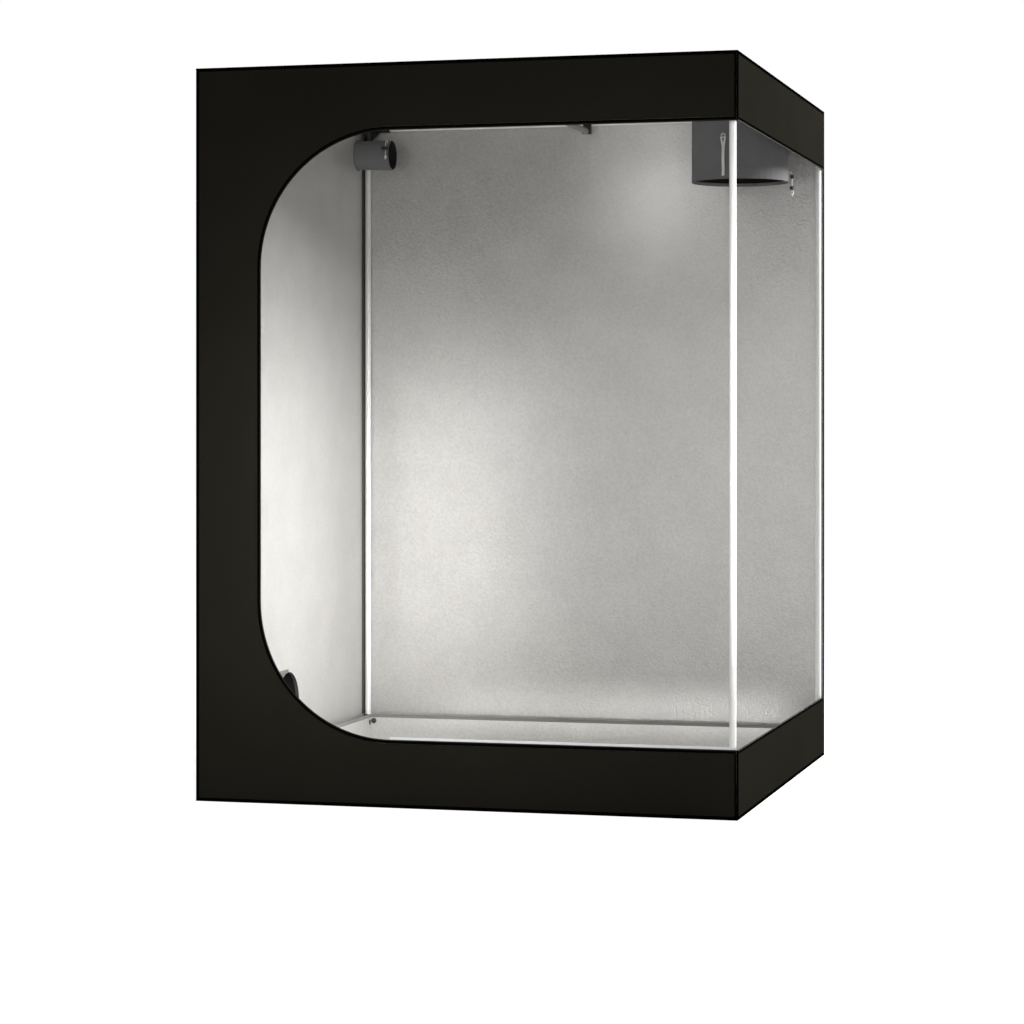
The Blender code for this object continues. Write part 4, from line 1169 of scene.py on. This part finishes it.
        cord = webbing_paint("white_webbing", settings.cord, 0.0012)
        metal = metal_paint("tie_eyelet_metal", (0.62, 0.62, 0.61))
        radius, *_, foot, _ = ROOF_SLEEVE
        out = Vector((math.cos(TIE_ANGLE), math.sin(TIE_ANGLE), 0))
        side = Vector((-out.y, out.x, 0))
        centre = Vector((foot[0], foot[1], 0))
        surface = radius + HEM_PROUD + GAP
        half, fork, top = TIE_WIDTH / 2, TIE_FORK - 0.002, TIE_TOP - 0.004
        runs = [((0, TIE_LOW, half), (0, TIE_FORK, half))]
        for way in (1, -1):
            runs.append(((way * half * 0.2, fork, half * 0.8), (way * TIE_SPREAD * 0.8, top, half * 0.55)))

        def shape(place, fade, depth):
            a, z = place
            curl = TIE_CURL * (1 + math.sin(z * 90) * (0.3 if z > TIE_FORK else 1))
            return centre + out * (surface + depth + curl) + side * a + Vector((0, 0, z))

        parts = []
        for run in runs:
            ends = [[(a + wide * share, z) for share in (-1, -0.5, 0, 0.5, 1)] for a, z, wide in run]
            parts.append(layered(ruled_net(*ends, 12), shape, 0.0008, 0.0))
        looks = {"slot": "white_cord", "stands_for": ["roof_sleeve_tie"]}
        make("roof_sleeve_tie_webbing", *joined(parts), cord, **looks)
        place = centre + out * surface + Vector((0, 0, TIE_TOP))
        make("tie_eyelet", *turned(TIE_EYELET, place, out, 28, closed=True), metal)
        return {"FINISHED"}


class TENT_OT_tray(bpy.types.Operator):
    """The floor tray with its bound rim and corner studs"""

    bl_idname = "tent.tray"
    bl_label = "Tray"

    def execute(self, context):
        settings = context.scene.tent_tray
        foil = foil_paint("tray_foil_cloth", shaded(context.scene.tent_cloth.lining, 1.18), 0.4, 0.42)
        half, low, top = TRAY_HALF - 0.0006, FLOOR_THICKNESS + 2 * GAP, TRAY_TOP - BINDING_OUT
        rise = top - low
        net = rectangle_net(-half, half, -half, half, 0.03, 0.05)
        marks = spread(-half, half, 0.03)
        for way in (-1, 1):
            for turned_round in (False, True):
                rows = []
                for up in spread(0, rise, rise / 6):
                    fades = [eased(min(half - abs(u), up, rise - up) / 0.03) for u in marks]
                    row = [(u, way * (half + up)) for u in marks]
                    rows.append(list(zip([place[::-1] for place in row] if turned_round else row, fades)))
                net.patch(rows)

        def shape(place, fade, depth):
            """The flat cut with its four sides stood up; depth is inwards."""
            u, v = place
            over_u, over_v = max(abs(u) - half, 0), max(abs(v) - half, 0)
            lift = (noise.noise(Vector((u * 4.3, v * 4.9, 1.7))) * 0.5 + 0.5) * settings.wave * fade
            share, side = (half - depth) / half, half - depth - lift
            x = math.copysign(side, u) if over_u else u * share
            y = math.copysign(side, v) if over_v else v * share
            return Vector((x, y, low + (over_u + over_v or depth + lift)))

        looks = {"slot": "silver_lining", "stands_for": ["floor_tray"]}
        made = make("floor_tray_sheet", *layered(net, shape, 0.0, 0.0012), foil, **looks)
        binding = webbing_paint("grey_binding_tape", settings.binding, 0.0016)
        outer, inner, drop = BINDING_OUT, BINDING_IN, TRAY_TOP - BINDING_DROP
        profile = [
            *((outer, drop), (outer, TRAY_TOP - 0.0012), (outer - 0.0008, TRAY_TOP)),
            *((inner + 0.0008, TRAY_TOP), (inner, TRAY_TOP - 0.0012), (inner, drop)),
            *((inner + 0.0009, drop), (inner + 0.0009, TRAY_TOP - 0.001)),
            *((outer - 0.0009, TRAY_TOP - 0.001), (outer - 0.0009, drop)),
        ]
        looks = {"slot": "grey_binding", "stands_for": ["tray_binding"]}
        rim = make("tray_rim_binding", *squared(profile, TRAY_HALF), binding, **looks)
        net.area()
        stud = plastic_paint("dark_stud", (0.045, 0.045, 0.042), 0.5)
        dome = ((0.98, 0), (1.0, 0.0008), (0.82, 0.0026), (0.45, 0.0034), (0.1, 0.0036))
        dome = [(settings.stud * r, h) for r, h in dome]
        place, wall, height = TRAY_HALF - settings.studs_in, TRAY_HALF - 0.0018, TRAY_TOP - 0.021
        parts = []
        for a, b in CORNERS:
            parts.append(turned(dome, (a * place, b * wall, height), (0, -b, 0), 24))
            parts.append(turned(dome, (a * wall, b * (place - 0.010), height - 0.004), (-a, 0, 0), 24))
        make("tray_corner_studs", *joined(parts), stud, slot="dark_plastic")
        return {"FINISHED"}


class TENT_OT_port_flap(bpy.types.Operator):
    """The flap of the side port with its bound edge and grip strip, and the port's collar and margin"""

    bl_idname = "tent.port_flap"
    bl_label = "Port flap"

    def execute(self, context):
        low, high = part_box("side_port_flap")
        foil = foil_paint("flap_foil_cloth", context.scene.tent_cloth.lining, 0.6, 0.45)
        tape = webbing_paint("flap_binding_tape", context.scene.tent_tray.binding, 0.0014)
        grip = webbing_paint("flap_grip_strip", (0.03, 0.03, 0.029), 0.0010)
        near, far = SEAM + low.x, SEAM + high.x
        net = rectangle_net(low.y, high.y, low.z, high.z, 0.018, 0.05)

        def shape(place, fade, depth):
            u, v = place
            curl = 0.0016 * ((high.y - u) / (high.y - low.y)) ** 2
            wave = 0.0010 * fade * noise.noise(Vector((u * 14, v * 14, 5.0)))
            return on_wall("left", u, v, depth + curl + wave)

        looks = {"body": "port_flap", "slot": "silver_lining", "stands_for": ["side_port_flap"]}
        made = make("port_flap_panel", *layered(net, shape, near + 0.0003, far - 0.0003), foil, **looks)
        outer = [(high.y, low.z), (low.y, low.z), (low.y, high.z), (high.y, high.z)]
        edge = ruled_net(*matched(inset(outer, -PORT_BINDING), outer, 0.018), 2)
        parts = [layered(edge, shape, near, near + 0.0004), layered(edge, shape, far - 0.0004, far)]
        rim = make("port_flap_binding", *joined(parts), tape, body="port_flap", slot="grey_binding")
        strip = rectangle_net(low.y + 0.012, low.y + 0.032, low.z + 0.012, high.z - 0.012, 0.018)
        strip = layered(strip, shape, far - 0.0004, far + 0.0005)
        hold = make("port_flap_grip", *strip, grip, body="port_flap", slot="black_trim")
        declare(net)

        radius, *_, foot, _ = SIDE_SLEEVE
        mouth, foot = radius - SLEEVE_THICKNESS, foot[1:]
        collar = [(-0.0011, 0), (-0.0005, -0.0004), (-0.0005, -0.010), (-0.0011, -0.0104)]
        collar = [(mouth + r, h) for r, h in collar]
        place = (-SEAM + LINING_IN + GAP, *foot)
        cloth = canvas_paint("grey_collar_cloth", shaded(context.scene.tent_sleeves.cloth, 0.34), 0.1)
        make("port_collar", *turned(collar, place, (1, 0, 0), 64, closed=True), cloth, slot="grey_sleeve")

        inner = arc(foot, mouth, math.pi / 2, math.pi * 1.5, 24)
        wide, tall = foot[0] - high.y - GAP, high.z - foot[1]
        outer = []
        for u, v in inner:
            way = ((u - foot[0]) / mouth, (v - foot[1]) / mouth)
            scale = min(tall / max(abs(way[1]), 1e-6), wide / max(abs(way[0]), 1e-6))
            outer.append((foot[0] + scale * way[0], foot[1] + scale * way[1]))
        margin = layered(ruled_net(inner, outer, 3), flat_on("left"), *MARGIN_DEPTHS)
        dull = foil_paint("margin_foil_cloth", shaded(context.scene.tent_cloth.lining, 0.26), 0.3, 0.5)
        make("port_margin", *margin, dull, slot="silver_lining")
        hem = ruled_net(path_between(outer, inner, MARGIN_TAPE_SHARE), outer, 1)
        hem = layered(hem, flat_on("left"), *MARGIN_TAPE_DEPTHS)
        make("port_margin_binding", *hem, tape, slot="grey_binding")
        return {"FINISHED"}


class TENT_OT_doors(bpy.types.Operator):
    """The two rolled doors and the straps that hold them"""

    bl_idname = "tent.doors"
    bl_label = "Doors"

    def roll_path(self, scale):
        """The rolled door seen from its end: depth from the seams' plane, then height."""
        middle = ROLL_RADIUS - DOOR_THICKNESS / 2
        count = ROLL_TURNS * ROLL_STEPS
        path = []
        for step in range(count + 1):
            share = step / count
            radius = (ROLL_CORE + (middle - ROLL_CORE) * share) * scale
            angle = math.pi + math.tau * ROLL_TURNS * (1 - share)
            squash = 1 - 0.05 * math.sin(angle) ** 2
            out, up = math.cos(angle) * radius * squash, math.sin(angle) * radius * squash
            path.append((ROLL_DEPTH + out, ROLL_HEIGHT + up))
        against = STRAP_DEPTH - STRAP_THICKNESS / 2 + DOOR_THICKNESS / 2
        bend = ROLL_TAIL_TOP - 2 * ROLL_TAIL_BEND
        path.append((ROLL_DEPTH - middle * scale, bend))
        return path + [(against, bend + ROLL_TAIL_BEND), (against, ROLL_TAIL_TOP)]

    def strap_path(self):
        around = ROLL_DEPTH - STRAP_DEPTH
        path = arc((ROLL_DEPTH, ROLL_HEIGHT), around, math.pi, math.tau + STRAP_END, 40)
        return [(STRAP_DEPTH, STRAP_TOP)] + path

    def banded(self, path, thickness):
        """The two faces of a strip along a flat path."""
        sides = ([], [])
        for k, here in enumerate(path):
            before, after = Vector(path[max(k - 1, 0)]), Vector(path[min(k + 1, len(path) - 1)])
            along = (after - before).normalized()
            out = Vector((-along.y, along.x)) * thickness / 2
            sides[0].append(Vector(here) + out)
            sides[1].append(Vector(here) - out)
        return sides

    def execute(self, context):
        settings = context.scene.tent_doors
        cloth = canvas_paint("black_door_cloth", context.scene.tent_cloth.cover)
        webbing = webbing_paint("black_strap_webbing", shaded(context.scene.tent_cloth.trim, 2.0), 0.0022)
        for wall, node, axis in (("front", "front_door_roll", 0), ("right", "side_door_roll", 1)):
            low, high = (corner[axis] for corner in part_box(node))
            marks = spread(low, high, (high - low) / settings.pieces)
            columns = []
            for n, place in enumerate(marks):
                slack = settings.slack * (noise.noise(Vector((place * 5.0, axis * 9.1, 0.4))) - 0.6)
                end = settings.stagger * ((n == len(marks) - 1) - (n == 0))

                def spot(k, depth, up):
                    uneven = (noise.noise(Vector((k * 0.35, n, 3.3))) * 0.5 + 0.5) * end
                    return on_wall(wall, place - uneven, up, depth)

                faces = self.banded(self.roll_path(1 + slack), DOOR_THICKNESS * 0.8)
                columns.append([[spot(k, *point) for k, point in enumerate(face)] for face in faces])
            made = make(f"{node}_cloth", *slab(columns), cloth, slot="black_canvas", stands_for=[node])
            path = self.roll_path(1)
            length = sum(math.dist(a, b) for a, b in zip(path, path[1:]))
            start = "front" if wall == "front" else "side"
            for strap in [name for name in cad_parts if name.startswith(f"{start}_roll_strap")]:
                faces = self.banded(self.strap_path(), STRAP_THICKNESS)
                columns = []
                for end in (corner[axis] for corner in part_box(strap)):
                    columns.append([[on_wall(wall, end, up, depth) for depth, up in face] for face in faces])
                make(f"{strap}_webbing", *slab(columns), webbing, slot="black_trim", stands_for=[strap])
        return {"FINISHED"}


class TENT_OT_stage(bpy.types.Operator):
    """The floor, the white surroundings, the lamps and the camera"""

    bl_idname = "tent.stage"
    bl_label = "Stage"

    def lamp(self, name, place, aim, size, spread, power):
        data = bpy.data.lights.new(name, "AREA")
        data.shape = "RECTANGLE"
        data.size, data.size_y = size
        data.spread = math.radians(spread)
        data.energy = power
        lamp = placed(name, data)
        lamp.visible_camera = False
        lamp.location = place
        lamp.rotation_euler = (Vector(aim) - Vector(place)).to_track_quat("-Z", "Y").to_euler()

    def execute(self, context):
        settings = context.scene.tent_stage
        scene = context.scene
        scene.view_settings.view_transform = "Standard"
        world = bpy.data.worlds.new("white_surroundings")
        scene.world = world
        world.use_nodes = True
        sky = Shade(world.node_tree, "Background")
        sky.feed(color=(1, 1, 1, 1), strength=sky.seen() * (1 - settings.sky) + settings.sky)

        paint = Paint("pale_floor", settings.floor, 0.9, specular_ior_level=0.0)
        grain = paint.noise(3.0, 3.0)
        paint.feed(base_color=paint.mix(grain, shaded(settings.floor, 0.99), shaded(settings.floor, 1.01)))
        glow = (1.02 - settings.floor[0] * settings.sky,) * 3
        paint.feed(emission_strength=1.0, emission_color=paint.mix(paint.seen(), (0, 0, 0), glow))
        near, far = -FLOOR_REACH, FLOOR_REACH
        points = [(near, near, -GAP), (far, near, -GAP), (far, far, -GAP), (near, far, -GAP)]
        mesh = bpy.data.meshes.new("floor")
        mesh.from_pydata(points, [], [(0, 1, 2, 3)])
        mesh.materials.append(paint.material)
        placed("floor", mesh)

        for name, place, aim, size, spread, power in LAMPS:
            self.lamp(name, place, aim, size, spread, power * settings.lamps)

        data = bpy.data.cameras.new("camera")
        data.lens = settings.lens
        data.sensor_width = SENSOR
        data.shift_y = settings.shift
        data.clip_end = VIEW_END
        camera = placed("camera", data)
        camera.location = CAMERA_PLACE
        camera.rotation_euler = Vector(CAMERA_AIM).to_track_quat("-Z", "Y").to_euler()
        scene.camera = camera
        return {"FINISHED"}


STEPS = (
    *(TENT_OT_cords, TENT_OT_covers, TENT_OT_linings, TENT_OT_seams, TENT_OT_zips, TENT_OT_frame),
    *(TENT_OT_sleeves, TENT_OT_tray, TENT_OT_port_flap, TENT_OT_doors, TENT_OT_stage),
)
SETTINGS = {
    "tent_cloth": TentClothSettings,
    "tent_frame": TentFrameSettings,
    "tent_sleeves": TentSleeveSettings,
    "tent_tray": TentTraySettings,
    "tent_doors": TentDoorSettings,
    "tent_stage": TentStageSettings,
}


class TENT_PT_panel(bpy.types.Panel):
    """The tent's settings and the buttons that make its pieces"""

    bl_label = "Grow tent"
    bl_idname = "TENT_PT_panel"
    bl_space_type = "VIEW_3D"
    bl_region_type = "UI"
    bl_category = "Grow tent"

    def draw(self, context):
        for name, group in SETTINGS.items():
            box = self.layout.box()
            for key in group.__annotations__:
                box.prop(getattr(context.scene, name), key)
        for step in STEPS:
            self.layout.operator(step.bl_idname)


def register():
    for group in SETTINGS.values():
        bpy.utils.register_class(group)
    for name, group in SETTINGS.items():
        setattr(bpy.types.Scene, name, PointerProperty(type=group))
    for step in STEPS:
        bpy.utils.register_class(step)
    bpy.utils.register_class(TENT_PT_panel)


def unregister():
    bpy.utils.unregister_class(TENT_PT_panel)
    for step in reversed(STEPS):
        bpy.utils.unregister_class(step)
    for name in SETTINGS:
        delattr(bpy.types.Scene, name)
    for group in SETTINGS.values():
        bpy.utils.unregister_class(group)


def main():
    register()
    for step in STEPS:
        group, action = step.bl_idname.split(".")
        getattr(getattr(bpy.ops, group), action)()


if __name__ == "__main__":
    main()
